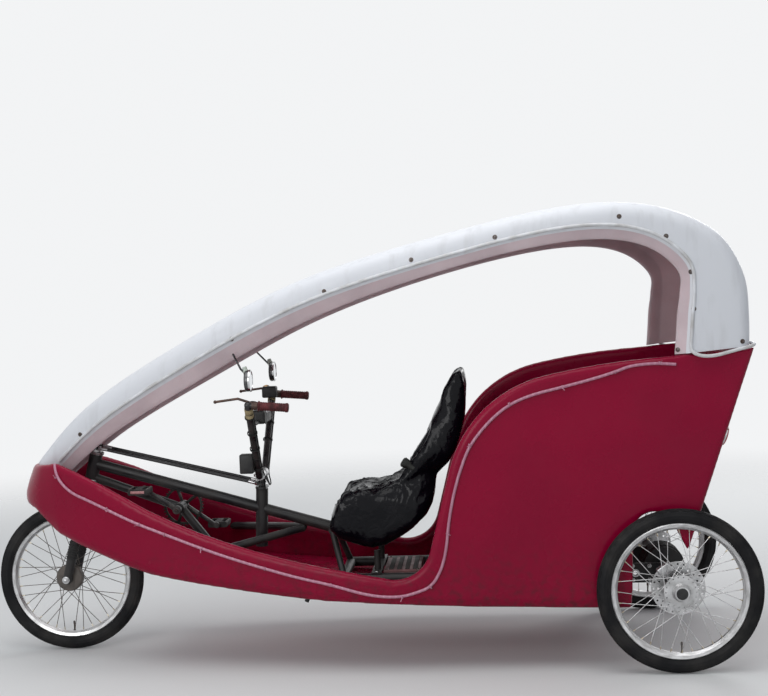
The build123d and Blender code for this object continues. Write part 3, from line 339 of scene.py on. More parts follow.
# columns: crown X, crown Z, path angle in degrees, half width, corner radius, depth to the lip, flange
ROOF = [
    (-1342.0, 776.0, 52.0, 100.0, 45.0, 75.0, 60.0),
    (-1100.0, 1022.0, 41.0, 175.0, 60.0, 95.0, 80.0),
    (-700.0, 1265.0, 28.0, 245.0, 65.0, 100.0, 90.0),
    (-200.0, 1503.0, 20.0, 315.0, 65.0, 100.0, 80.0),
    (350.0, 1655.0, 14.0, 390.0, 65.0, 95.0, 58.0),
    (840.0, 1750.0, 5.0, 445.0, 65.0, 95.0, 60.0),
    (1160.0, 1744.0, -12.0, 455.0, 62.0, 115.0, 60.0),
    (1400.0, 1640.0, -42.0, 455.0, 58.0, 165.0, 60.0),
    (1506.0, 1475.0, -72.0, 455.0, 52.0, 210.0, 60.0),
    (1524.0, 1300.0, -90.0, 455.0, 48.0, 228.0, 60.0),
    (1519.0, 1140.0, -92.0, 452.0, 48.0, 236.0, 60.0),
]
ROOF_STEPS = 5
ROOF_SKIN = 16.0
CROWN_FALL = 12.0
LINING_FROM = 14
HOOD_SEAT = (Vector((1.189, 0, 1.168)), Vector((1.523, 0, 1.197)))
HOOD_FROM = 1.15


def roof_row(index, share):
    """A row of the roof's table between two of its rows, on a smooth curve."""
    rows = [ROOF[max(0, min(len(ROOF) - 1, index + step))] for step in (-1, 0, 1, 2)]
    values = []
    for a, b, c, d in zip(*rows):
        bend = (2 * a - 5 * b + 4 * c - d) * share ** 2 + (3 * b - a - 3 * c + d) * share ** 3
        values.append(0.5 * (2 * b + (c - a) * share + bend))
    return values


def roof_point(row, y, z):
    """A point of a roof section, from its place across and its height above the crown, in mm."""
    turn = radians(row[2])
    return Vector((row[0] - z * sin(turn), y, row[1] + z * cos(turn))) / 1000


def corner_arc(half, corner, reach, turns):
    """Points round the roof's corner, at a reach from the corner's centre."""
    y, z = half - corner, -CROWN_FALL - corner
    return [(y + reach * sin(radians(turn)), z + reach * cos(radians(turn))) for turn in turns]


def roof_half(row):
    """Half a roof section from the crown's middle, over the rolled lip and the flange, back inside."""
    half, corner, depth, flange = row[3:]
    crown = [(half * share, -CROWN_FALL * share ** 2) for share in (0, 0.2, 0.4, 0.6)]
    lip = [(half, -depth + 14), (half + 0.5, -depth + 4), (half - 1, -depth - 4), (half - 7, -depth - 9)]
    y, z = half - flange * 0.55, -depth - flange * 0.83
    edge = [(y + 8, z + 9), (y + 1, z - 2), (y - 9, z + 1), (y - 13, z + 9)]
    wall = [(half - 22, -depth - 4), (half - 17, -depth + 6), (half - 16, -depth + 16)]
    ceiling = [(half * 0.55, -ROOF_SKIN - 7), (half * 0.3, -ROOF_SKIN - 3), (0, -ROOF_SKIN)]
    outer = crown + corner_arc(half, corner, corner, range(0, 91, 15)) + lip
    inner = wall + corner_arc(half, corner, corner - ROOF_SKIN, range(90, -1, -18)) + ceiling
    return outer + edge + inner


def rounded(thing):
    """Apply one subdivision to a piece and smooth its faces."""
    rounding = thing.modifiers.new("round", "SUBSURF")
    rounding.levels = 1
    rounding.render_levels = 1
    settle(thing).shade_smooth()


rows = [roof_row(index, step / ROOF_STEPS) for index in range(len(ROOF) - 1) for step in range(ROOF_STEPS)]
rows.append(ROOF[-1])
shape = bmesh.new()
rings = []
inside = set()
for row in rows:
    side = roof_half(row)
    loop = side + [(-y, z) for y, z in reversed(side[1:-1])]
    verts = [shape.verts.new(roof_point(row, y, z)) for y, z in loop]
    rings.append([shape.edges.new((verts[n - 1], verts[n])) for n in range(len(verts))])
    inside.update(verts[LINING_FROM:len(loop) - LINING_FROM + 1])
for before, after in zip(rings, rings[1:]):
    bmesh.ops.bridge_loops(shape, edges=before + after)
bmesh.ops.contextual_create(shape, geom=rings[0])
bmesh.ops.contextual_create(shape, geom=rings[-1])
for face in shape.faces:
    face.material_index = int(all(vert in inside for vert in face.verts))
run = HOOD_SEAT[1] - HOOD_SEAT[0]
hood = [face for face in shape.faces if face.calc_center_median().x > HOOD_FROM]
cut = set(hood)
for face in hood:
    cut.update(face.edges)
    cut.update(face.verts)
bmesh.ops.bisect_plane(shape, geom=list(cut), dist=0.0001, plane_co=HOOD_SEAT[0],
                       plane_no=Vector((run.z, 0, -run.x)), clear_outer=True)
bmesh.ops.recalc_face_normals(shape, faces=shape.faces)
mesh = mesh_of(shape, "roof_shell")
mesh.materials.append(roof_white)
mesh.materials.append(lining)
roof = piece("roof_shell", mesh, None, "chassis")
rounded(roof)
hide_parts("roof_spine", "roof_hood")

# The bead: a white rolled edge moulded along each lip of the roof, which curls out and runs in a
# wave under the hood's loose lower edge, with a dark gap above it.
SIDES = (("left", -1), ("right", 1))
BEAD_R = 0.0065
BEAD_END = (1.2, 1.19)
BEAD_TAIL = [
    (1.292, -0.457, 1.186), (1.306, -0.461, 1.172), (1.335, -0.464, 1.164), (1.375, -0.465, 1.165),
    (1.42, -0.463, 1.175), (1.466, -0.46, 1.187), (1.505, -0.457, 1.194), (1.527, -0.44, 1.203),
    (1.529, -0.3, 1.203), (1.529, 0.0, 1.201),
]


def tube(name, points, radius, material, body, cyclic=False):
    """A round cord, wire or bead along a smooth line of points."""
    curve = bpy.data.curves.new(name, "CURVE")
    curve.dimensions = "3D"
    curve.bevel_depth = radius
    curve.bevel_resolution = 3
    curve.use_fill_caps = True
    line = curve.splines.new("NURBS")
    line.points.add(len(points) - 1)
    for point, place in zip(line.points, points):
        point.co = (*place, 1)
    line.use_cyclic_u = cyclic
    line.order_u = 3
    line.use_endpoint_u = not cyclic
    line.resolution_u = 6
    thing = bpy.data.objects.new(name, curve)
    scene.collection.objects.link(thing)
    mesh = bpy.data.meshes.new_from_object(thing.evaluated_get(bpy.context.evaluated_depsgraph_get()))
    bpy.data.objects.remove(thing)
    mesh.name = name
    mesh.shade_smooth()
    return piece(name, mesh, material, body)


bead_white = worn("bead_white", (0.74, 0.75, 0.77), (0.5, 0.49, 0.48), 0.45, 16, 0.0003)
for name, side in SIDES:
    line = [roof_point(row, side * (row[3] + 1), -row[5] + 2) for row in rows[2:]]
    line = [point for point in line if point.x < BEAD_END[0] or point.z > BEAD_END[1]]
    line += [Vector((x, -side * y, z)) for x, y, z in BEAD_TAIL]
    tube(f"roof_bead_{name}", line, BEAD_R, bead_white, "chassis")

# Roof screws: small dark plated screws with washers, driven through the roof's side walls a hand's
# breadth apart where the shell was patched, and one at each lower corner of the hood.
ROOF_SCREWS = [
    # X, Z
    (-1.108, 0.914), (-0.451, 1.282), (-0.073, 1.454), (0.268, 1.561), (0.586, 1.632), (1.043, 1.688),
    (1.211, 1.609), (1.297, 1.475), (1.304, 1.339), (1.246, 1.189), (1.478, 1.213),
]
SCREW_SUNK = 0.0005
BESIDE = 0.8


def turned(profile, steps):
    """A shape turned about Z from a profile of radius and height."""
    shape = bmesh.new()
    verts = [shape.verts.new((radius, 0, height)) for radius, height in profile]
    edges = [shape.edges.new(pair) for pair in zip(verts, verts[1:])]
    bmesh.ops.spin(shape, geom=verts + edges, cent=(0, 0, 0), axis=(0, 0, 1), angle=2 * pi, steps=steps,
                   use_merge=True)
    bmesh.ops.remove_doubles(shape, verts=shape.verts, dist=0.000001)
    bmesh.ops.recalc_face_normals(shape, faces=shape.faces)
    return shape


def spun(profile, steps):
    """The mesh of a turned shape."""
    return mesh_of(turned(profile, steps), "spun")


def aim(centre, axis, turn=0.0):
    """A matrix that stands a shape's Z along an axis at a place."""
    lean = Vector(axis).to_track_quat("Z", "Y").to_matrix().to_4x4()
    return Matrix.Translation(centre) @ lean @ Matrix.Rotation(turn, 4, "Z")


def gather(name, parts, material, body, sharp=35):
    """One piece of many placed shapes; parts is a list of (mesh, matrix)."""
    shape = bmesh.new()
    for part, place in parts:
        placed = part.copy()
        placed.transform(place)
        shape.from_mesh(placed)
        bpy.data.meshes.remove(placed)
    mesh = mesh_of(shape, name)
    mesh.shade_smooth()
    mesh.set_sharp_from_angle(angle=radians(sharp))
    return piece(name, mesh, material, body)


def skin_of(thing):
    """A tree of a piece's faces, to set small parts on its skin."""
    shape = bmesh.new()
    shape.from_mesh(thing.data)
    tree = BVHTree.FromBMesh(shape)
    shape.free()
    return tree


def on_skin(skin, x, z, side, lift):
    """A place on a skin, met from beside the cab and lifted off it, and the skin's normal there."""
    hit, normal = skin.ray_cast((x, side * BESIDE, z), (0, -side, 0))[:2]
    return hit + normal * lift, normal


screw_metal = worn("screw_metal", (0.13, 0.12, 0.12), (0.07, 0.05, 0.04), 0.4, 60, 0.0001, 1.0)
SCREW = spun([(0, 0.0042), (0.003, 0.004), (0.0052, 0.0026), (0.0056, 0.0012), (0.009, 0.001), (0.0095, 0),
              (0, 0)], 12)
roof_skin = skin_of(roof)
set_in = [(SCREW, aim(*on_skin(roof_skin, x, z, side, -SCREW_SUNK)))
          for x, z in ROOF_SCREWS for side in (-1, 1)]
gather("roof_screws", set_in, screw_metal, "chassis")

# The light rope: a clear plastic tube with a row of tiny lamps in it, run along both sides of the
# body below the rolled edge and held by cable ties through the skin.
ROPE_PINK = (0.42, 0.17, 0.25)
ROPE_PAINTED_GLINT = (0.55, 0.3, 0.37)
ROPE_R = 0.0056
TIE_TWIST = 2.3
TIE_HEAD_OUT = 0.0075
TIE_HEAD_ASIDE = 0.001
TIE_TAIL_OUT = 0.009
# columns: X, Z
ROPE = [
    (-1.201, 0.80), (-1.194, 0.769), (-1.167, 0.726), (-1.118, 0.689), (-1.042, 0.661), (-0.948, 0.62),
    (-0.844, 0.574), (-0.738, 0.536), (-0.59, 0.481), (-0.464, 0.439), (-0.334, 0.401), (-0.198, 0.364),
    (-0.079, 0.34), (0.036, 0.307), (0.116, 0.294), (0.192, 0.294), (0.249, 0.309), (0.302, 0.329),
    (0.338, 0.381), (0.363, 0.455), (0.379, 0.586), (0.405, 0.70), (0.435, 0.789), (0.467, 0.862),
    (0.541, 0.949), (0.617, 1.008), (0.703, 1.042), (0.815, 1.066), (0.922, 1.091), (1.011, 1.116),
    (1.063, 1.135), (1.121, 1.141), (1.173, 1.143), (1.234, 1.137),
]
TIE_AT = [
    (-1.187, 0.752), (-0.969, 0.632), (-0.835, 0.572), (-0.73, 0.532), (-0.583, 0.479), (-0.334, 0.401),
    (-0.079, 0.34), (0.192, 0.294), (0.302, 0.329), (0.372, 0.53), (0.467, 0.862), (0.617, 1.008),
    (0.815, 1.066), (1.011, 1.116), (1.173, 1.143),
]


def chamfered(size, edge, segments=2):
    """A box with bevelled edges, centred on the origin."""
    shape = bmesh.new()
    bmesh.ops.create_cube(shape, size=1)
    bmesh.ops.scale(shape, vec=size, verts=shape.verts)
    bmesh.ops.bevel(shape, geom=shape.edges[:], offset=edge, segments=segments, affect="EDGES", profile=0.5,
                    material=-1)
    return mesh_of(shape, "chamfered")


def sleeve(inner, outer, half, steps):
    """A short tube about Z, from its two radii and half its length."""
    return spun([(inner, -half), (outer, -half), (outer, half), (inner, half), (inner, -half)], steps)


rope_plastic, shader, place = surface("rope_plastic", ROPE_PINK, 0.3, specular=0.5)
# Painted highlight: lighter pink bands along the tube stand for glints.
glint_bands = fed("ShaderNodeTexWave", place, Scale=14, Distortion=0.3)
tint(shader, spread(glint_bands.outputs["Fac"], 0, 0.5, 0.6, 1.0), ROPE_PAINTED_GLINT)
relief(shader, grain(place, 90, 3.0), 0.0003)
TIE_BAND = sleeve(0.0058, 0.0072, 0.0022, 14)
TIE_HEAD = chamfered((0.0055, 0.0048, 0.0065), 0.0008)
TIE_TAIL = chamfered((0.0034, 0.0012, 0.019), 0.0004)
tie_plastic = worn("tie_plastic", (0.5, 0.24, 0.32), (0.36, 0.16, 0.22), 0.4, 40, 0.0002)
body_skin = skin_of(shell)
for name, side in SIDES:
    line = [on_skin(body_skin, x, z, side, ROPE_R * 0.8)[0] for x, z in ROPE]
    tube(f"light_rope_{name}", line, ROPE_R, rope_plastic, "chassis")
    ties = []
    for number, (x, z) in enumerate(TIE_AT):
        middle, normal = on_skin(body_skin, x, z, side, ROPE_R)
        first, second = sorted(ROPE, key=lambda point: (point[0] - x) ** 2 + (point[1] - z) ** 2)[:2]
        run = (Vector((second[0], 0, second[1])) - Vector((first[0], 0, first[1]))).normalized()
        head = middle + normal * TIE_HEAD_OUT + run.cross(normal).normalized() * TIE_HEAD_ASIDE
        twist = number * TIE_TWIST
        lean = Vector((sin(twist), 0.35 * side, cos(twist))) + normal * 0.8
        ties.append((TIE_BAND, aim(middle, run)))
        ties.append((TIE_HEAD, aim(head, normal, number)))
        ties.append((TIE_TAIL, aim(head + lean.normalized() * TIE_TAIL_OUT, lean)))
    gather(f"rope_ties_{name}", ties, tie_plastic, "chassis")

# Tyres: black rubber with a ribbed crown, shoulder blocks and a plain sidewall with two fine
# rings, blown up on the rims; grey with road dust on the tread.
TYRE_BLACK = (0.006, 0.006, 0.007)
TYRE_DUST = (0.03, 0.028, 0.026)
CROWN_R = 0.2765
TYRE_DEEP = 0.0285
TYRE_HALF = 0.025
TYRE_STEPS = 132
TYRE_BEAD = (0.2532, 0.0142)
TREAD_DEEP = 0.0013
RIB_BAND = (0.0088, 0.0134)
SHOULDER_BAND = (0.0176, 0.0208)
KNURL_HALF = 0.003
AXLE_Z = 0.305
AXLE_FRONT = Vector((-1.22, 0, AXLE_Z))
AXLE_REAR = Vector((1.22, 0, AXLE_Z))
TRACK_HALF = Vector((0, 0.495, 0))
# columns: wheel, the body it rides on, its middle, which way its hub faces
WHEELS = [
    ("front", "front_wheel", AXLE_FRONT, 1),
    ("rear_left", "rear_wheel_left", AXLE_REAR - TRACK_HALF, -1),
    ("rear_right", "rear_wheel_right", AXLE_REAR + TRACK_HALF, 1),
]
# columns: angle from the crown in degrees, how far the rubber stands proud in metres
TYRE_SECTION = [
    (0, 0), (9, 0), (12, -0.0016), (17, -0.0016), (20, -0.0002), (33, -0.0002), (36, -0.0018), (40, -0.0018),
    (43, -0.0003), (58, -0.0003), (62, -0.0012), (76, 0), (80, 0.0004), (84, 0), (100, 0), (104, 0.0005),
    (108, 0), (125, 0), (136, 0), (144, 0.0004),
]
tyre_rubber, shader, place = surface("tyre_rubber", TYRE_BLACK, 0.62, specular=0.2)
tint(shader, spread(grain(place, 9, 7.0), 0, 0.85, 0.46, 0.72), TYRE_DUST)
gloss(shader, grain(place, 14, 5.0), 0.5, 0.8)
relief(shader, grain(place, 700, 2.0), 0.00015)
half_section = []
for angle, proud in TYRE_SECTION:
    turn = radians(angle)
    half_section.append((CROWN_R + (TYRE_DEEP + proud) * cos(turn), (TYRE_HALF + proud) * sin(turn)))
half_section.append(TYRE_BEAD)
section = [(radius, -offset) for radius, offset in reversed(half_section[1:])] + half_section
shape = turned(section + section[:1], TYRE_STEPS)
blocks = []
for face in shape.faces:
    middle = face.calc_center_median()
    number = int((atan2(middle.y, middle.x) / (2 * pi) + 0.5) * TYRE_STEPS)
    offset = abs(middle.z)
    outward = middle.xy.length > CROWN_R
    rib = RIB_BAND[0] < offset < RIB_BAND[1] and number % 3 == 0
    shoulder = SHOULDER_BAND[0] < offset < SHOULDER_BAND[1] and outward and number % 3 != 0
    knurl = offset < KNURL_HALF and number % 4 == 0
    if rib or shoulder or knurl:
        blocks.append(face)
bmesh.ops.inset_individual(shape, faces=blocks, thickness=0.0007, depth=-TREAD_DEEP)
tyre_mesh = mesh_of(shape, "tyre")
for name, body, middle, outward in WHEELS:
    tyre = gather(f"{name}_tyre_tread", [(tyre_mesh, aim(middle, (0, 1, 0)))], tyre_rubber, body, 50)
    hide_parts(f"{name}_tyre")

# Rims and spokes: box-section rims of brushed aluminium with brass nipples, a valve with its cap,
# and stainless spokes laced to drilled hub flanges.
RIM_BRIGHT = (0.66, 0.66, 0.67)
RIM_RUBBED = (0.42, 0.42, 0.42)
RIM_BED = 0.229
SPOKE_COUNT = 36
SPOKE_LEAD = radians(54.0)
SPOKE_SIDE = 0.004
# each flange's place along the axle and the radius of its spoke holes
FRONT_FLANGES = ((-0.020, 0.054), (0.028, 0.036))
REAR_FLANGES = ((-0.020, 0.046), (0.022, 0.0605))
rim_alloy, shader, place = surface("rim_alloy", RIM_BRIGHT, 0.3, 1.0)
tint(shader, spread(grain(place, 26, 6.0, (1, 9, 1)), 0, 1), RIM_RUBBED)
gloss(shader, grain(place, 12, 6.0), 0.22, 0.42)
relief(shader, grain(place, 240, 2.0, (1, 6, 1)), 0.0001)
wear(rim_alloy, "front_rim", "rear_left_rim", "rear_right_rim", "rear_left_hub", "rear_right_hub")
nipple_brass = worn("nipple_brass", (0.55, 0.5, 0.4), (0.35, 0.3, 0.22), 0.35, 60, 0.0001, 1.0)
NIPPLE = spun([(0, -0.001), (0.0023, -0.001), (0.0023, 0.008), (0.0015, 0.012), (0, 0.012)], 8)
VALVE = spun([(0, 0), (0.005, 0), (0.005, 0.003), (0.003, 0.004), (0.003, 0.026), (0.0042, 0.027),
              (0.0042, 0.037), (0.002, 0.04), (0, 0.04)], 14)
for name, body, middle, outward in WHEELS:
    flanges = FRONT_FLANGES if name == "front" else REAR_FLANGES
    fitted = []
    for number in range(SPOKE_COUNT):
        offset, flange_r = flanges[number % 2]
        turn = 2 * pi * number / SPOKE_COUNT
        at = turn + (SPOKE_LEAD if (number // 2) % 2 else -SPOKE_LEAD)
        foot = Vector((flange_r * cos(at), outward * offset, -outward * flange_r * sin(at)))
        beside = SPOKE_SIDE if offset > 0 else -SPOKE_SIDE
        end = Vector((RIM_BED * cos(turn), outward * beside, -outward * RIM_BED * sin(turn)))
        fitted.append((NIPPLE, aim(middle + end, foot - end)))
    gather(f"{name}_nipples", fitted, nipple_brass, body)
    valve = [(VALVE, aim(middle - Vector((0, 0, RIM_BED)), (0, 0, 1)))]
    gather(f"{name}_valve", valve, screw_metal, body)

# Hubs: a drum hub in front and drilled flanges behind, each rear one with a dark centre cap and a
# ring of small bolts on its inner flange, and the front axle held by domed nuts on washers.
HUB_FACE = 0.0552
HUB_BOLTS = 6
HUB_BOLT_R = 0.041
HUB_BOLT_IN = 0.0175
FRONT_NUT_AT = 0.0855
hub_casting = worn("hub_casting", (0.075, 0.066, 0.06), (0.15, 0.13, 0.115), 0.5, 24, 0.0004, 0.6)
wear(hub_casting, "front_hub")
hub_black = worn("hub_black", (0.01, 0.01, 0.011), (0.03, 0.03, 0.03), 0.4, 30, 0.0003)
CAP = spun([(0, 0.006), (0.012, 0.006), (0.018, 0.0045), (0.02, 0.001), (0.0215, 0), (0.0215, -0.004),
            (0, -0.004)], 28)
BOLT = spun([(0, 0.004), (0.0038, 0.004), (0.0045, 0.0032), (0.0045, 0), (0.0065, -0.0002),
             (0.0065, -0.001), (0, -0.001)], 6)
NUT = spun([(0, 0.012), (0.004, 0.0115), (0.0075, 0.009), (0.0085, 0.006), (0.0115, 0.006), (0.0115, 0),
            (0.0155, 0), (0.0155, -0.0015), (0, -0.0015)], 12)
for name, body, middle, outward in WHEELS[1:]:
    out = Vector((0, outward, 0))
    gather(f"{name}_hub_cap", [(CAP, aim(middle + out * HUB_FACE, out))], hub_black, body)
    ring = []
    for number in range(HUB_BOLTS):
        turn = 2 * pi * number / HUB_BOLTS
        round_hub = Vector((cos(turn), 0, sin(turn))) * HUB_BOLT_R
        ring.append((BOLT, aim(middle - out * HUB_BOLT_IN + round_hub, -out)))
    gather(f"{name}_hub_bolts", ring, screw_metal, body)
nuts = [(NUT, aim(AXLE_FRONT + Vector((0, side * FRONT_NUT_AT, 0)), (0, side, 0))) for side in (-1, 1)]
gather("front_axle_nuts", nuts, bright_metal, "fork")

# The fork and head: ribbed rubber boots over the fork's lower legs, bearing cups pressed into both
# ends of the head tube, and bolts that clamp the crown and the steering plate.
FORK_LEAN = Vector((sin(radians(14)), 0, cos(radians(14))))
FORK_HALF = 0.062
BOOT_UP = 0.085
CROWN_UP = 0.388
CROWN_HALF = 0.077
CROWN_BOLTS = (-0.012, 0.012)
HEAD_UP = 0.538
CUPS_DOWN = (0.0005, 0.1295)
PIN_HALF = 0.035
PLATE_UP = 0.0423
RIBS = 7
RIB_PITCH = 0.0105
HEAD_TOP = AXLE_FRONT + FORK_LEAN * HEAD_UP
wear(chassis_paint, "fork")
boot_rubber = worn("boot_rubber", (0.014, 0.014, 0.015), (0.03, 0.029, 0.028), 0.66, 26, 0.0004)
boot_profile = [(0, 0), (0.0195, 0)]
for rib in range(RIBS):
    foot = 0.004 + rib * RIB_PITCH
    boot_profile += [(0.0198, foot), (0.0225, foot + 0.003), (0.0225, foot + 0.005), (0.0198, foot + 0.008)]
boot_profile += [(0.0175, 0.08), (0.0152, 0.083), (0, 0.083)]
BOOT = spun(boot_profile, 22)
boots = [(BOOT, aim(AXLE_FRONT + Vector((0, side * FORK_HALF, 0)) + FORK_LEAN * BOOT_UP, FORK_LEAN))
         for side in (-1, 1)]
gather("fork_boots", boots, boot_rubber, "fork")
CUP = spun([(0.0272, 0), (0.0315, 0.001), (0.0315, 0.007), (0.029, 0.012), (0.0272, 0.0125), (0.0272, 0)], 28)
cups = [(CUP, aim(HEAD_TOP - FORK_LEAN * CUPS_DOWN[0], -FORK_LEAN)),
        (CUP, aim(HEAD_TOP - FORK_LEAN * CUPS_DOWN[1], FORK_LEAN))]
gather("head_cups", cups, bright_metal, "chassis")
HEX = spun([(0, 0.006), (0.0058, 0.006), (0.0068, 0.0048), (0.0068, 0), (0.009, -0.0002), (0.009, -0.0015),
            (0, -0.0015)], 6)
crown = AXLE_FRONT + FORK_LEAN * CROWN_UP
fore = FORK_LEAN.cross(Vector((0, 1, 0)))
crown_bolts = [(HEX, aim(crown + Vector((0, side * CROWN_HALF, 0)) + fore * along, (0, side, 0)))
               for side in (-1, 1) for along in CROWN_BOLTS]
gather("crown_bolts", crown_bolts, screw_metal, "fork")
PIN_NUT = spun([(0, 0.009), (0.0035, 0.0085), (0.0058, 0.007), (0.0058, 0.0055), (0.0098, 0.005),
                (0.0098, 0), (0, 0)], 6)
plate_top = HEAD_TOP + FORK_LEAN * PLATE_UP
pin_nuts = [(PIN_NUT, aim(plate_top + Vector((0, side * PIN_HALF, 0)), FORK_LEAN)) for side in (-1, 1)]
gather("front_pin_nuts", pin_nuts, bright_metal, "fork")

# Steering rods: straight black steel tubes from the fork's plate to the handlebar column's, with a
# bright threaded eye and a lock nut screwed into each end.
COLUMN_LEAN = Vector((sin(radians(2.5)), 0, cos(radians(2.5))))
COLUMN_FOOT = Vector((-0.412, 0, 0.414))
COLUMN_TOP = COLUMN_FOOT + COLUMN_LEAN * 0.238
FRONT_EYE_UP = 0.0203
REAR_EYE_UP = 0.024
LOCK_NUT_AT = 0.014
THREAD_AT = 0.024
rod_paint = worn("rod_paint", (0.01, 0.01, 0.012), (0.05, 0.05, 0.05), 0.34, 14, 0.0002)
wear(rod_paint, "steering_rod_left", "steering_rod_right")
LOCK_NUT = spun([(0.0066, 0), (0.0102, 0), (0.0102, 0.008), (0.0088, 0.0095), (0.0066, 0.0095),
                 (0.0066, 0)], 6)
THREAD = spun([(0.0066, 0), (0.0074, 0.001), (0.0074, 0.026), (0.0066, 0.028), (0.0066, 0)], 12)
for name, side in SIDES:
    pin = Vector((0, side * PIN_HALF, 0))
    front_eye = HEAD_TOP + FORK_LEAN * FRONT_EYE_UP + pin
    rear_eye = COLUMN_TOP + COLUMN_LEAN * REAR_EYE_UP + pin
    run = (rear_eye - front_eye).normalized()
    ends = []
    for eye, way in ((front_eye, run), (rear_eye, -run)):
        ends += [(LOCK_NUT, aim(eye + way * LOCK_NUT_AT, way)), (THREAD, aim(eye + way * THREAD_AT, way))]
    gather(f"rod_ends_{name}", ends, bright_metal, f"steering_rod_{name}")

# The handlebar and grips: black tubes splayed up from a yoke on the column, brown brake levers, and
# brown-red ribbed rubber grips pushed on the bent-back ends.
BAR_FEET = COLUMN_TOP + COLUMN_LEAN * 0.062
FOOT_HALF = 0.07
KNEE = Vector((-0.392, 0.3, 1.022))
GRIP_END = Vector((-0.236, 0.3, 1.008))
GRIP_FROM = 0.040
GRIP_RIBS = 11


def up_bar(side, share):
    """A place on an upright, as a share of the way from the yoke to its knee."""
    foot = BAR_FEET + Vector((0, side * FOOT_HALF, 0))
    return foot + (Vector((KNEE.x, side * KNEE.y, KNEE.z)) - foot) * share


def along_bar(side, share):
    """A matrix that stands a shape's Z along an upright, at a share of the way up it."""
    return aim(up_bar(side, share), (up_bar(side, 1) - up_bar(side, 0)).normalized())


bar_paint = worn("bar_paint", (0.008, 0.008, 0.01), (0.04, 0.038, 0.036), 0.3, 16, 0.0002, coat=0.2)
wear(bar_paint, "handlebar", "handlebar_column")
lever_paint = worn("lever_paint", (0.1, 0.045, 0.03), (0.05, 0.03, 0.022), 0.35, 30, 0.0002, 0.3)
wear(lever_paint, "brake_levers")
grip_rubber = worn("grip_rubber", (0.12, 0.018, 0.02), (0.05, 0.014, 0.014), 0.6, 40, 0.0004)
grip_run = (GRIP_END - KNEE).normalized()
grip_length = (GRIP_END - KNEE).length - GRIP_FROM
grip_profile = [(0.0112, 0), (0.0205, 0.0005), (0.021, 0.003), (0.0185, 0.006)]
for rib in range(GRIP_RIBS):
    foot = 0.009 + rib * (grip_length - 0.02) / GRIP_RIBS
    grip_profile += [(0.0158, foot), (0.017, foot + 0.0015), (0.017, foot + 0.0055), (0.0158, foot + 0.007)]
grip_profile += [(0.0185, grip_length - 0.008), (0.0185, grip_length - 0.001), (0.015, grip_length + 0.003),
                 (0, grip_length + 0.0035)]
GRIP = spun(grip_profile, 24)
grips = [(GRIP, aim(Vector((KNEE.x, side * KNEE.y, KNEE.z)) + grip_run * GRIP_FROM, grip_run))
         for side in (-1, 1)]
grip_pair = gather("ribbed_grips", grips, grip_rubber, "handlebar", 50)
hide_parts("grips")

# The handlebar's fittings: bands of cloth tape, a moulded control box low on the left upright and a
# switch box by the right grip, strapped on and held by steel lugs, a bronze bell on its stem, and
# bright sleeves bolted round the yoke.
CONTROL_AT = (-0.437, -0.122, 0.772)
SWITCH_AT = (-0.392, 0.236, 1.034)
YOKE_HALF = 0.034
YOKE_BOLTS = (0.024, 0.044)
YOKE_FRONT = 0.0208
BELL_STAND = aim((-0.414, 0.283, 1.043), (-0.2, -0.15, 1))
# columns: side, share of the upright, the lug's end on its box
BOX_LUGS = [
    (-1, 0.14, (-0.42, -0.118, 0.756)), (-1, 0.25, (-0.42, -0.122, 0.79)), (1, 0.8, (-0.392, 0.24, 1.0)),
]
tape = worn("cloth_tape", (0.42, 0.34, 0.19), (0.25, 0.2, 0.11), 0.75, 60, 0.0004)
BAND = spun([(0.0152, -0.011), (0.0168, -0.011), (0.017, 0), (0.0168, 0.011), (0.0152, 0.011),
             (0.0152, -0.011)], 22)
bands = [(BAND, along_bar(side, share)) for side, share in ((-1, 0.93), (-1, 0.86), (1, 0.92))]
gather("tape_bands", bands, tape, "handlebar")
plastic_black = worn("moulded_black", (0.011, 0.011, 0.012), (0.035, 0.034, 0.033), 0.48, 34, 0.0003)
wear(plastic_black, "console")
boxes = [(chamfered((0.056, 0.05, 0.078), 0.006, 3), Matrix.Translation(CONTROL_AT)),
         (chamfered((0.05, 0.053, 0.07), 0.004), Matrix.Translation(CONTROL_AT)),
         (chamfered((0.062, 0.05, 0.048), 0.007, 3), Matrix.Translation(SWITCH_AT))]
STRAP = sleeve(0.0152, 0.0185, 0.005, 20)
boxes += [(STRAP, along_bar(side, share)) for side, share in ((-1, 0.12), (-1, 0.26), (1, 0.78))]
gather("handlebar_boxes", boxes, plastic_black, "handlebar")
for number, (side, share, end) in enumerate(BOX_LUGS):
    start, end = up_bar(side, share), Vector(end)
    tube(f"box_lug_{number}", [start, (start + end) / 2, end], 0.005, screw_metal, "handlebar")
bell_bronze = worn("bell_bronze", (0.42, 0.25, 0.11), (0.2, 0.12, 0.06), 0.28, 40, 0.0001, 1.0)
BELL = spun([(0, 0.019), (0.008, 0.0178), (0.0145, 0.0135), (0.0185, 0.007), (0.0195, 0.002), (0.0205, 0),
             (0.0185, 0.0008), (0.0, 0.002)], 28)
gather("bell", [(BELL, BELL_STAND)], bell_bronze, "handlebar")
STEM = spun([(0, -0.022), (0.0045, -0.022), (0.0045, 0.002), (0, 0.002)], 12)
gather("bell_stem", [(STEM, BELL_STAND)], screw_metal, "handlebar")
YOKE_CLAMP = spun([(0.0152, -0.02), (0.0205, -0.019), (0.0215, 0), (0.0205, 0.019), (0.0152, 0.02),
                   (0.0152, -0.02)], 24)
clamps = [(YOKE_CLAMP, aim(BAR_FEET + Vector((0, side * YOKE_HALF, 0)), (0, 1, 0))) for side in (-1, 1)]
clamps += [(HEX, aim(BAR_FEET + Vector((-YOKE_FRONT, side * along, 0)), (-1, 0, 0)))
           for side in (-1, 1) for along in YOKE_BOLTS]
gather("yoke_clamp", clamps, bright_metal, "handlebar")

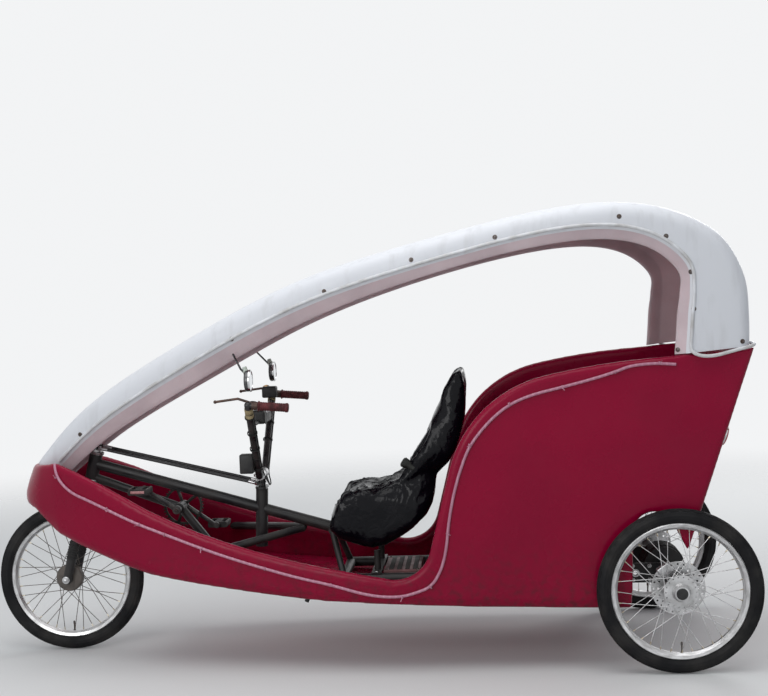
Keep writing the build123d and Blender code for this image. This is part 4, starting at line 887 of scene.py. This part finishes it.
# The display: a dark glass pane laid on the console's top, and a row of pale push buttons along
# the face that the rider sees.
PANE_AT = (-0.3925, 0, 1.0)
BUTTON_X = -0.3625
BUTTON_Z = 0.974
display_glass = worn("display_glass", (0.02, 0.026, 0.03), (0.03, 0.036, 0.04), 0.12, 30, 0.00002, coat=0.5)
pane = chamfered((0.05, 0.12, 0.006), 0.002)
gather("display", [(pane, Matrix.Translation(PANE_AT))], display_glass, "handlebar")
BUTTON = spun([(0, 0.005), (0.005, 0.0045), (0.006, 0.003), (0.006, -0.002), (0, -0.002)], 16)
buttons = [(BUTTON, aim((BUTTON_X, y, BUTTON_Z), (1, 0, 0.05))) for y in (-0.05, -0.025, 0.0, 0.025, 0.05)]
gather("display_buttons", buttons, bead_white, "handlebar")

# Brake and gear cables: thin black housings clipped down the uprights from the levers and the
# switch box to the yoke, where each makes a short loop against the column.
CABLE_R = 0.0026
CABLE_BEHIND = 0.0165
cable_black = worn("cable_housing", (0.01, 0.01, 0.011), (0.03, 0.03, 0.03), 0.5, 80, 0.0001)
narrow = Matrix.Scale(0.5, 4, (0, 0, 1)) @ Matrix.Scale(1.12, 4)
for name, side in SIDES:
    lever = [(-0.362, 0.286, 1.033), (-0.392, 0.272, 1.04), (-0.405, 0.262, 1.005)]
    loop = [(0.019, 0.045, -0.004), (0.03, 0.03, -0.035), (0.034, 0.006, -0.05), (0.022, -0.012, -0.03),
            (0.0165, -0.006, -0.005)]
    points = [Vector((x, side * y, z)) for x, y, z in lever]
    points += [up_bar(side, share) + Vector((CABLE_BEHIND, 0, 0)) for share in (0.88, 0.7, 0.5, 0.3, 0.12)]
    points += [BAR_FEET + Vector((x, side * y, z)) for x, y, z in loop]
    tube(f"brake_cable_{name}", points, CABLE_R, cable_black, "handlebar")
    clips = [(STRAP, along_bar(side, share) @ narrow) for share in (0.4, 0.62, 0.84)]
    gather(f"cable_clips_{name}", clips, plastic_black, "handlebar")

# Mirrors: round dark metallic shells with chromed rings and glass facing the rider, on bent stalks
# under the roof, each held by a pale plastic clamp.
MIRROR_IN = 0.0653
MIRROR_UP = 0.042
CLAMP_X = -0.3945
CLAMP_Z = 1.153
chrome = worn("chrome", (0.72, 0.72, 0.73), (0.5, 0.5, 0.5), 0.1, 30, 0.00005, 1.0)
mirror_shell = worn("mirror_shell", (0.05, 0.05, 0.053), (0.12, 0.12, 0.12), 0.25, 30, 0.0001, 0.7)
wear(mirror_shell, "mirror_left", "mirror_right")
mirror_glass, shader, place = surface("mirror_glass", (0.78, 0.8, 0.82), 0.03, 1.0)
smears = grain(place, 30, 5.0)
gloss(shader, smears, 0.02, 0.12, 0.5, 0.8)
tint(shader, spread(smears, 0, 0.3, 0.5, 0.9), (0.5, 0.52, 0.54))
clamp_plastic = worn("clamp_plastic", (0.5, 0.56, 0.5), (0.4, 0.42, 0.36), 0.5, 60, 0.0002)
RING = spun([(0.0385, 0), (0.0425, 0.0005), (0.0435, 0.004), (0.0425, 0.008), (0.0385, 0.0085),
             (0.0385, 0)], 40)
GLASS = spun([(0, 0.0015), (0.02, 0.0012), (0.0385, 0), (0.0385, -0.002), (0, -0.002)], 40)
CLAMP = spun([(0, -0.018), (0.0095, -0.018), (0.0115, -0.014), (0.0115, 0.006), (0.009, 0.009),
              (0.009, 0.018), (0.0075, 0.021), (0, 0.0215)], 18)
for name, side in SIDES:
    low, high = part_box(f"mirror_{name}")
    inner = min(abs(low.y), abs(high.y))
    face = Vector((high.x - 0.0005, side * (inner + MIRROR_IN), low.z + MIRROR_UP))
    ring = [(RING, aim(face - Vector((0.006, 0, 0)), (1, 0, 0)))]
    glass = [(GLASS, aim(face + Vector((0.0005, 0, 0)), (1, 0, 0)))]
    clamp = [(CLAMP, aim((CLAMP_X, face.y, CLAMP_Z), (-0.3, 0, 1)))]
    gather(f"mirror_ring_{name}", ring, chrome, "chassis")
    gather(f"mirror_glass_{name}", glass, mirror_glass, "chassis")
    gather(f"mirror_clamp_{name}", clamp, clamp_plastic, "chassis")

# The crankset and pedals: forged black cranks on a steel spindle, a thin toothed chainring bolted
# to a five-armed spider, and pedals whose cages carry moulded grip studs and pinkish reflectors.
BRACKET = Vector((-0.746, 0, 0.583))
CRANK = 0.162
CRANK_OUT = 0.0677
CRANK_TURN = radians(146)
RING_OUT = 0.049
TEETH = 40
ARMS = 5
TEETH_OUT = 0.0836
ARMS_OUT = 0.044
BOLTS_OUT = 0.0735
CRANK_BOLT_OUT = 0.0765
STUDS = 9
STUD_SUNK = 0.0004
STUD_IN = 0.0035
STUD_END = 0.012
crank_steel = worn("crank_steel", (0.035, 0.035, 0.038), (0.09, 0.085, 0.08), 0.38, 26, 0.0003, 0.5)
ring_steel = worn("ring_steel", (0.06, 0.058, 0.056), (0.025, 0.022, 0.02), 0.45, 40, 0.0002, 0.8)
bar = chamfered((CRANK, 0.021, 0.013), 0.003)
for vert in bar.vertices:
    vert.co.y *= 0.82 - 0.18 * vert.co.x / (CRANK / 2)
ROOT = spun([(0, -0.0085), (0.0165, -0.0085), (0.018, -0.007), (0.018, 0.007), (0.0165, 0.0085),
             (0, 0.0085)], 26)
TIP = spun([(0, -0.0072), (0.0115, -0.0072), (0.0128, -0.006), (0.0128, 0.006), (0.0115, 0.0072),
            (0, 0.0072)], 22)
SPINDLE = spun([(0, -0.066), (0.0095, -0.066), (0.0095, 0.066), (0, 0.066)], 20)
PEDAL_PIN = spun([(0, 0), (0.0095, 0), (0.0095, 0.003), (0.005, 0.003), (0.005, 0.095), (0, 0.095)], 16)
cranks = [(SPINDLE, aim(BRACKET, (0, 1, 0)))]
for side in (-1, 1):
    out = Vector((0, side, 0))
    run = Vector((cos(CRANK_TURN), 0, sin(CRANK_TURN))) * -side
    root = BRACKET + out * CRANK_OUT
    tip = aim(root + run * CRANK, out)
    lay = Matrix((run, out.cross(run), out)).transposed().to_4x4()
    cranks += [(ROOT, aim(root, out)), (TIP, tip), (bar, Matrix.Translation(root + run * CRANK / 2) @ lay),
               (PEDAL_PIN, tip)]
forged = gather("forged_cranks", cranks, crank_steel, "crankset")
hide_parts("crankset")


def round_ring(count, out, up=0.0):
    """Places set evenly round the chainring, at a distance out from its middle and up its axis."""
    stand = aim(BRACKET + Vector((0, RING_OUT, 0)), (0, 1, 0))
    return [stand @ Matrix.Rotation(2 * pi * number / count, 4, "Z") @ Matrix.Translation((out, 0, up))
            for number in range(count)]


BAND_RING = sleeve(0.0715, 0.0806, 0.002, 80)
TOOTH = chamfered((0.0075, 0.0062, 0.0026), 0.0009, 1)
SPIDER = chamfered((0.062, 0.0125, 0.0045), 0.0015)
toothed = [(BAND_RING, round_ring(1, 0.0)[0])]
toothed += [(TOOTH, place) for place in round_ring(TEETH, TEETH_OUT)]
toothed += [(SPIDER, place) for place in round_ring(ARMS, ARMS_OUT, 0.003)]
gather("chainring", toothed, ring_steel, "crankset")
chain_bolts = [(BOLT, aim(place.translation, (0, 1, 0))) for place in round_ring(ARMS, BOLTS_OUT, 0.005)]
chain_bolts += [(HEX, aim(BRACKET + Vector((0, side * CRANK_BOLT_OUT, 0)), (0, side, 0))) for side in (-1, 1)]
gather("crank_bolts", chain_bolts, screw_metal, "crankset")
pedal_plastic = worn("pedal_plastic", (0.02, 0.02, 0.021), (0.05, 0.048, 0.045), 0.6, 30, 0.0004)
wear(pedal_plastic, "pedal_left", "pedal_right")
reflector, shader, place = surface("pedal_reflector", (0.75, 0.42, 0.42), 0.25, specular=0.5)
facets = fed("ShaderNodeTexVoronoi", place, Scale=420).outputs["Distance"]
tint(shader, facets, (0.35, 0.12, 0.12))
relief(shader, facets, 0.0008)
STUD = spun([(0, 0.0022), (0.0012, 0.0022), (0.0022, 0), (0, 0)], 6)
STRIP = chamfered((0.056, 0.003, 0.011), 0.0008)
for name, side in SIDES:
    low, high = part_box(f"pedal_{name}")
    studs = []
    for x in (low.x + STUD_IN, high.x - STUD_IN):
        for number in range(STUDS):
            y = low.y + STUD_END + number * (high.y - low.y - 2 * STUD_END) / (STUDS - 1)
            studs.append((STUD, aim((x, y, high.z - STUD_SUNK), (0, 0, 1))))
            studs.append((STUD, aim((x, y, low.z + STUD_SUNK), (0, 0, -1))))
    gather(f"pedal_studs_{name}", studs, screw_metal, f"pedal_{name}")
    middle = (low + high) / 2
    outer = low.y if side < 0 else high.y
    ends = [(STRIP, Matrix.Translation((middle.x, outer + side * 0.0008, middle.z)))]
    gather(f"pedal_reflector_{name}", ends, reflector, f"pedal_{name}")

# The rider's seat: a bucket shell and its cushion pulled into a glossy black plastic cover, which is
# blown up by a cloth simulation and crumpled, with a knob at the fold of the back.
FILM_BLACK = (0.002, 0.002, 0.004)
FILM_SMUDGE = (0.006, 0.006, 0.008)
FILM_VOXEL = 0.0085
FILM_INSET = 0.008
SEAT_FLAT = 0.135
BACK_Z = (0.7, 1.11)
BACK_TAPER = 0.16
HOLLOW_HALF = 0.125
HOLLOW_FROM_Z = 0.6
HOLLOW_DEEP = 0.034
SWELL_DEEP = 0.006
CUSHION_TOP = 0.76
RIDGE_DEEP = 0.0036
PUFF_FRAMES = 20
KNOB_AT = (0.238, -0.15, 0.737)
# columns: X, Z, from the top of the back down its front, round the cushion and up behind
SEAT_OUTLINE = [
    (0.415, 1.124), (0.385, 1.11), (0.352, 1.048), (0.322, 0.97), (0.292, 0.909), (0.263, 0.852),
    (0.235, 0.795), (0.211, 0.732), (0.185, 0.698), (0.14, 0.682), (0.09, 0.676), (0.022, 0.676),
    (-0.043, 0.661), (-0.077, 0.617), (-0.096, 0.555), (-0.106, 0.51), (-0.07, 0.466), (0.013, 0.442),
    (0.067, 0.432), (0.12, 0.44), (0.175, 0.468), (0.23, 0.504), (0.279, 0.556), (0.301, 0.607),
    (0.306, 0.659), (0.317, 0.711), (0.355, 0.745), (0.394, 0.802), (0.417, 0.859), (0.435, 0.922),
    (0.443, 0.985), (0.447, 1.06), (0.441, 1.112),
]


def with_normals(mesh):
    """Each vertex of a mesh with its normal, as it is before any of them moves."""
    return zip(mesh.vertices, [vert.normal.copy() for vert in mesh.vertices])


def padded(name, mesh, voxel, inset, material):
    """A remeshed padded shape, a little smaller, to be blown up."""
    thing = piece(name, mesh, material, "chassis")
    blended(thing, voxel, 8)
    for vert, normal in with_normals(settle(thing)):
        vert.co -= normal * inset
    return thing


def puff(thing, pressure, shrink, reach, held=None):
    """Blow a padded piece's cover up by cloth simulation, and keep each point within a reach."""
    mesh = thing.data
    before = [vert.co.copy() for vert in mesh.vertices]
    cloth = thing.modifiers.new("cover", "CLOTH")
    cloth.settings.quality = 4
    cloth.settings.mass = 0.2
    cloth.settings.tension_stiffness = 12
    cloth.settings.compression_stiffness = 8
    cloth.settings.shear_stiffness = 5
    cloth.settings.bending_stiffness = 0.15
    cloth.settings.use_pressure = True
    cloth.settings.uniform_pressure_force = pressure
    cloth.settings.shrink_min = shrink
    cloth.settings.effector_weights.gravity = 0
    if held is not None:
        pins = thing.vertex_groups.new(name="held")
        pins.add([vert.index for vert in mesh.vertices if held(vert.co)], 1.0, "REPLACE")
        cloth.settings.vertex_group_mass = "held"
    cloth.point_cache.frame_start = 1
    cloth.point_cache.frame_end = PUFF_FRAMES
    for number in range(1, PUFF_FRAMES + 1):
        scene.frame_set(number)
    blown = thing.evaluated_get(bpy.context.evaluated_depsgraph_get())
    after = [vert.co.copy() for vert in blown.to_mesh().vertices]
    blown.to_mesh_clear()
    thing.modifiers.remove(cloth)
    thing.vertex_groups.clear()
    scene.frame_set(1)
    for vert, old, new in zip(mesh.vertices, before, after):
        step = new - old
        if step.length > reach:
            step *= reach / step.length
        vert.co = old + step


def mould(thing):
    """Narrow the seat's back, hollow it for the rider and swell it unevenly."""
    for vert, normal in with_normals(thing.data):
        share = max(0.0, min(1.0, (vert.co.z - BACK_Z[0]) / (BACK_Z[1] - BACK_Z[0])))
        vert.co.y *= 1 - BACK_TAPER * share ** 1.5
        hollow = max(0.0, 1 - (vert.co.y / HOLLOW_HALF) ** 2)
        towards_rider = max(0.0, normal.z * 0.6 - normal.x * 0.8)
        if vert.co.z > HOLLOW_FROM_Z:
            vert.co -= normal * HOLLOW_DEEP * hollow * towards_rider
        fold_at = Vector((vert.co.x * 9, vert.co.y * 15, vert.co.z * 5))
        vert.co += normal * SWELL_DEEP * (noise.noise(fold_at) + 0.5 * noise.noise(fold_at * 2.1))


def crinkle(thing):
    """Raise sharp wandering ridges in the film, strongest on the cushion's top."""
    for vert, normal in with_normals(thing.data):
        fold_at = Vector((vert.co.x * 24, vert.co.y * 24, vert.co.z * 9))
        wander = vert.co * 9
        fold_at += Vector((noise.noise(wander), noise.noise(wander + Vector((7, 3, 1))), 0)) * 1.6
        ridge = max(0.0, 1 - abs(noise.noise(fold_at)) * 2.4)
        strength = 0.3 + 1.5 * max(0.0, normal.z) * (vert.co.z < CUSHION_TOP)
        vert.co += normal * RIDGE_DEEP * strength * (ridge ** 3 - 0.3)


film, shader, place = surface("seat_film", FILM_BLACK, 0.16, specular=0.17)
smudged = grain(place, 14, 6.0)
gloss(shader, smudged, 0.1, 0.24)
tint(shader, spread(smudged, 0, 1, 0.5, 0.8), FILM_SMUDGE)
crackle = fed("ShaderNodeTexVoronoi", place, Scale=34)
crackle.feature = "DISTANCE_TO_EDGE"
wrinkled = relief(shader, grain(place, 26, 5.0, (1, 1, 0.45)), 0.002)
wrinkled = relief(shader, spread(crackle.outputs["Distance"], 0, 1, 0, 0.3), 0.0004, wrinkled)
relief(shader, grain(place, 120, 3.0), 0.0003, wrinkled)
shape = bmesh.new()
rings = []
for y in (-SEAT_FLAT, SEAT_FLAT):
    verts = [shape.verts.new((x, y, z)) for x, z in SEAT_OUTLINE]
    rings.append([shape.edges.new((verts[n - 1], verts[n])) for n in range(len(verts))])
bmesh.ops.bridge_loops(shape, edges=rings[0] + rings[1])
ends = [bmesh.ops.contextual_create(shape, geom=ring)["faces"][0] for ring in rings]
bmesh.ops.recalc_face_normals(shape, faces=shape.faces)
for thick, deep in ((0.008, 0.02), (0.018, 0.013)):
    bmesh.ops.inset_region(shape, faces=ends, thickness=thick, depth=deep, use_even_offset=True)
seat_mesh = mesh_of(shape, "rider_seat_cover")
seat = padded("rider_seat_cover", seat_mesh, FILM_VOXEL, FILM_INSET, film)
mould(seat)
puff(seat, 2.0, -0.12, 0.018)
rounded(seat)
crinkle(seat)
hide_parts("rider_seat")
knob_plastic = worn("knob_plastic", (0.012, 0.014, 0.012), (0.04, 0.042, 0.038), 0.4, 40, 0.0003)
KNOB = spun([(0, 0), (0.011, 0), (0.012, 0.018), (0.02, 0.036), (0.021, 0.05), (0.015, 0.056),
             (0, 0.058)], 18)
knob = [(KNOB, aim(KNOB_AT, (-0.8, 0, 0.55)))]
gather("seat_knob", knob, knob_plastic, "chassis")

# The bench: a seat pad and a back pad in black vinyl over foam, sewn into upright channels and
# edged with piping, and blown up by a cloth simulation that is held along the seams.
VINYL_BLACK = (0.014, 0.013, 0.014)
VINYL_RUBBED = (0.045, 0.04, 0.04)
VINYL_VOXEL = 0.0085
VINYL_INSET = 0.009
CHANNELS = 6
BENCH_HALF = 0.4
SEAM_HALF = 0.006
SEAM_DEEP = 0.009
SEAM_REACH = 0.03
SEAM_STEPS = 10
THREAD_R = 0.0015
PIPING_R = 0.0042
# columns: pad, the node it replaces, where its seams start above it, the step along them, the way to it
PADS = [
    ("bench_seat_pad", "bench_cushion", (0.86, 0.9), (0.0385, 0), (0, 0, -1)),
    ("bench_back_pad", "backrest_cushion", (0.9, 0.775), (0, 0.036), (1, 0, 0)),
]
bench_vinyl, shader, place = surface("bench_vinyl", VINYL_BLACK, 0.42, specular=0.4)
rubbed = grain(place, 8, 6.0)
tint(shader, spread(rubbed, 0, 1, 0.5, 0.78), VINYL_RUBBED)
gloss(shader, rubbed, 0.34, 0.55)
creased = relief(shader, grain(place, 22, 5.0), 0.003)
relief(shader, fed("ShaderNodeTexVoronoi", place, Scale=380).outputs["Distance"], 0.0005, creased)
thread_grey = worn("seam_thread", (0.09, 0.085, 0.085), (0.05, 0.05, 0.05), 0.7, 90, 0.0002)
piping_vinyl = worn("piping_vinyl", (0.03, 0.028, 0.029), (0.06, 0.055, 0.055), 0.35, 40, 0.0002)
seams = [BENCH_HALF * (2 * number / CHANNELS - 1) for number in range(1, CHANNELS)]


def in_seam(point):
    """Whether a point of a bench pad lies on a sewn seam."""
    return any(abs(point.y - seam) < SEAM_HALF for seam in seams)


def sew(thing):
    """Draw the pad's cover in along each seam."""
    for vert, normal in with_normals(thing.data):
        near = min(abs(vert.co.y - seam) for seam in seams)
        if abs(normal.y) < 0.7:
            vert.co -= normal * SEAM_DEEP * max(0.0, 1 - near / SEAM_REACH) ** 2


def piping(name, near, side, far, half, bulge):
    """Piping round a pad, from the X and Z of its near edge, of places on its side and of its far edge."""
    across = (-half, -0.2, 0, 0.2, half)
    loop = [(near[0], y, near[1]) for y in across]
    loop += [(x, bulge, z) for x, z in side]
    loop += [(far[0], y, far[1]) for y in reversed(across)]
    loop += [(x, -bulge, z) for x, z in reversed(side)]
    tube(name, loop, PIPING_R, piping_vinyl, "chassis", cyclic=True)


for name, node, start, step, way in PADS:
    pad = padded(name, copy_of(name, [node]), VINYL_VOXEL, VINYL_INSET, bench_vinyl)
    sew(pad)
    puff(pad, 4.0, -0.02, 0.012, in_seam)
    rounded(pad)
    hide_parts(node)
    skin = skin_of(pad)
    for number, seam in enumerate(seams):
        starts = [(start[0] + step[0] * along, seam, start[1] + step[1] * along)
                  for along in range(SEAM_STEPS)]
        met = [skin.ray_cast(place, way)[0] for place in starts]
        line = [point for point in met if point is not None]
        tube(f"{name}_seam_{number}", line, THREAD_R, thread_grey, "chassis")
low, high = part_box("bench_cushion")
top, front, back = high.z - 0.011, low.x + 0.006, high.x - 0.02
side = [(front + 0.02, top), (1.05, top), (back - 0.02, top)]
piping("seat_piping", (front, top), side, (back, top), 0.39, 0.393)
BACK_LEAN = 0.3508
BACK_FOOT = 0.748
BACK_TOP = 1.113
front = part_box("backrest_cushion")[0].x + 0.0045
side = [(front + BACK_LEAN * (z - BACK_FOOT), z) for z in (0.77, 0.93, 1.09)]
top = front + BACK_LEAN * (BACK_TOP - BACK_FOOT)
piping("back_piping", (front, BACK_FOOT), side, (top, BACK_TOP), 0.388, 0.392)

# The floor mat and step: a ribbed rubber mat laid in the footwell between the rider's seat and the
# bench, and anti-slip strips on the step box, which is screwed down at its corners.
MAT_X = 0.66
MAT_LONG = 0.36
MAT_WIDE = 0.52
MAT_LIFT = 0.004
MAT_THICK = 0.0035
MAT_RIBS = 26
RIBS_FROM = 0.495
RIBS_LONG = 0.33
ABOVE_FLOOR = 0.45
STRIP_PITCH = 0.032
mat_rubber = worn("mat_rubber", (0.028, 0.026, 0.026), (0.075, 0.066, 0.06), 0.8, 12, 0.0004)
floor_skin = skin_of(nodes["tub_floor"])


def floor_z(x, y):
    """The height of the tub's floor at a place."""
    return floor_skin.ray_cast((x, y, ABOVE_FLOOR), (0, 0, -1))[0].z


shape = bmesh.new()
bmesh.ops.create_grid(shape, x_segments=20, y_segments=8, size=0.5)
bmesh.ops.scale(shape, vec=(MAT_LONG, MAT_WIDE, 1), verts=shape.verts)
bmesh.ops.translate(shape, vec=(MAT_X, 0, 0), verts=shape.verts)
for vert in shape.verts:
    vert.co.z = floor_z(vert.co.x, vert.co.y) + MAT_LIFT
bmesh.ops.solidify(shape, geom=shape.faces[:], thickness=MAT_THICK)
bmesh.ops.recalc_face_normals(shape, faces=shape.faces)
mat_parts = [(mesh_of(shape, "mat_base"), Matrix.Identity(4))]
RIB = chamfered((0.006, 0.47, 0.004), 0.0012, 1)
for number in range(MAT_RIBS):
    x = RIBS_FROM + number * RIBS_LONG / (MAT_RIBS - 1)
    mat_parts.append((RIB, Matrix.Translation((x, 0, floor_z(x, 0) + 0.0048))))
gather("footwell_mat", mat_parts, mat_rubber, "chassis")
low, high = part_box("step_box")
TREAD = chamfered((0.018, 0.25, 0.003), 0.001)
treads = [(TREAD, Matrix.Translation((low.x + 0.03 + number * STRIP_PITCH, 0, high.z + 0.0012)))
          for number in range(4)]
gather("step_treads", treads, mat_rubber, "chassis")
corners = [(SCREW, aim((x, y, high.z), (0, 0, 1)))
           for x in (low.x + 0.012, high.x - 0.012) for y in (-0.125, 0.125)]
gather("step_screws", corners, screw_metal, "chassis")

# The tail lamps: round red lenses moulded in rings, each in a chromed bezel that four small screws
# hold to the sloping rear panel.
PANEL_FOOT = Vector((1.289, 0, 0.516))
PANEL_RUN = Vector((0.234, 0, 0.673)).normalized()
PANEL_OUT = Vector((PANEL_RUN.z, 0, -PANEL_RUN.x))
LAMP_Z = 0.860
LAMP_HALF = 0.33
lamp_red, shader, place = surface("lamp_red", (0.62, 0.008, 0.01), 0.12, coat=0.6, specular=0.5)
prisms = fed("ShaderNodeTexVoronoi", place, Scale=190).outputs["Distance"]
tint(shader, prisms, (0.2, 0.002, 0.003))
relief(shader, prisms, 0.001)
wear(lamp_red, "tail_lamps")
BEZEL = spun([(0.0383, 0.0005), (0.044, 0.0005), (0.0455, 0.004), (0.044, 0.013), (0.0405, 0.017),
              (0.0383, 0.0165), (0.0383, 0.0005)], 36)
LENS_RING = spun([(0.012, 0.0235), (0.0135, 0.0252), (0.015, 0.0235), (0.012, 0.0235)], 36)
LENS_RIM = spun([(0.022, 0.0235), (0.0235, 0.0252), (0.025, 0.0235), (0.022, 0.0235)], 36)
lamp_middle = PANEL_FOOT + PANEL_RUN * ((LAMP_Z - PANEL_FOOT.z) / PANEL_RUN.z)
bezels = []
rings = []
for side in (-1, 1):
    stand = aim(lamp_middle + Vector((0, side * LAMP_HALF, 0)), PANEL_OUT)
    bezels.append((BEZEL, stand))
    rings += [(LENS_RING, stand), (LENS_RIM, stand)]
    for turn in (0.8, 2.4, 4.0, 5.6):
        spot = stand @ Vector((0.041 * cos(turn), 0.041 * sin(turn), 0.0165))
        rings.append((BOLT, aim(spot, PANEL_OUT) @ Matrix.Scale(0.6, 4)))
gather("lamp_bezels", bezels, chrome, "chassis")
gather("lamp_rings", rings, lamp_red, "chassis")

# Frame fittings: bright hexagon bolts through the brake calipers, the axle brackets and the seat's
# cross plate, and steel washers on both faces of the lashing eyes.
BRACKET_Y = 0.1763
BRACKET_X = (1.085, 1.15)
BRACKET_Z = (0.332, 0.278)
CALIPER_TURN = radians(125)
CALIPER_R = 0.084
CALIPER_Y = 0.449 - 0.0163
EYE_X = 1.095
EYE_Z = 0.305
fittings = []
for side in (-1, 1):
    fittings += [(HEX, aim((x, side * BRACKET_Y, z), (0, side, 0)))
                 for x in BRACKET_X for z in BRACKET_Z]
    round_axle = Vector((cos(CALIPER_TURN), 0, sin(CALIPER_TURN))) * CALIPER_R
    caliper = AXLE_REAR + round_axle + Vector((0, side * CALIPER_Y, 0))
    along = Vector((sin(CALIPER_TURN), 0, -cos(CALIPER_TURN)))
    fittings += [(HEX, aim(caliper + along * step, (0, -side, 0))) for step in (-0.013, 0.013)]
    fittings.append((HEX, aim((0.075, side * 0.165, 0.3262), (0, 0, 1))))
gather("frame_bolts", fittings, bright_metal, "chassis")
EYE_WASHER = sleeve(0.0095, 0.0155, 0.0012, 24)
washers = [(EYE_WASHER, aim((EYE_X, side * y, EYE_Z), (0, 1, 0)))
           for side in (-1, 1) for y in (0.1632, 0.1768)]
gather("eye_washers", washers, bright_metal, "chassis")
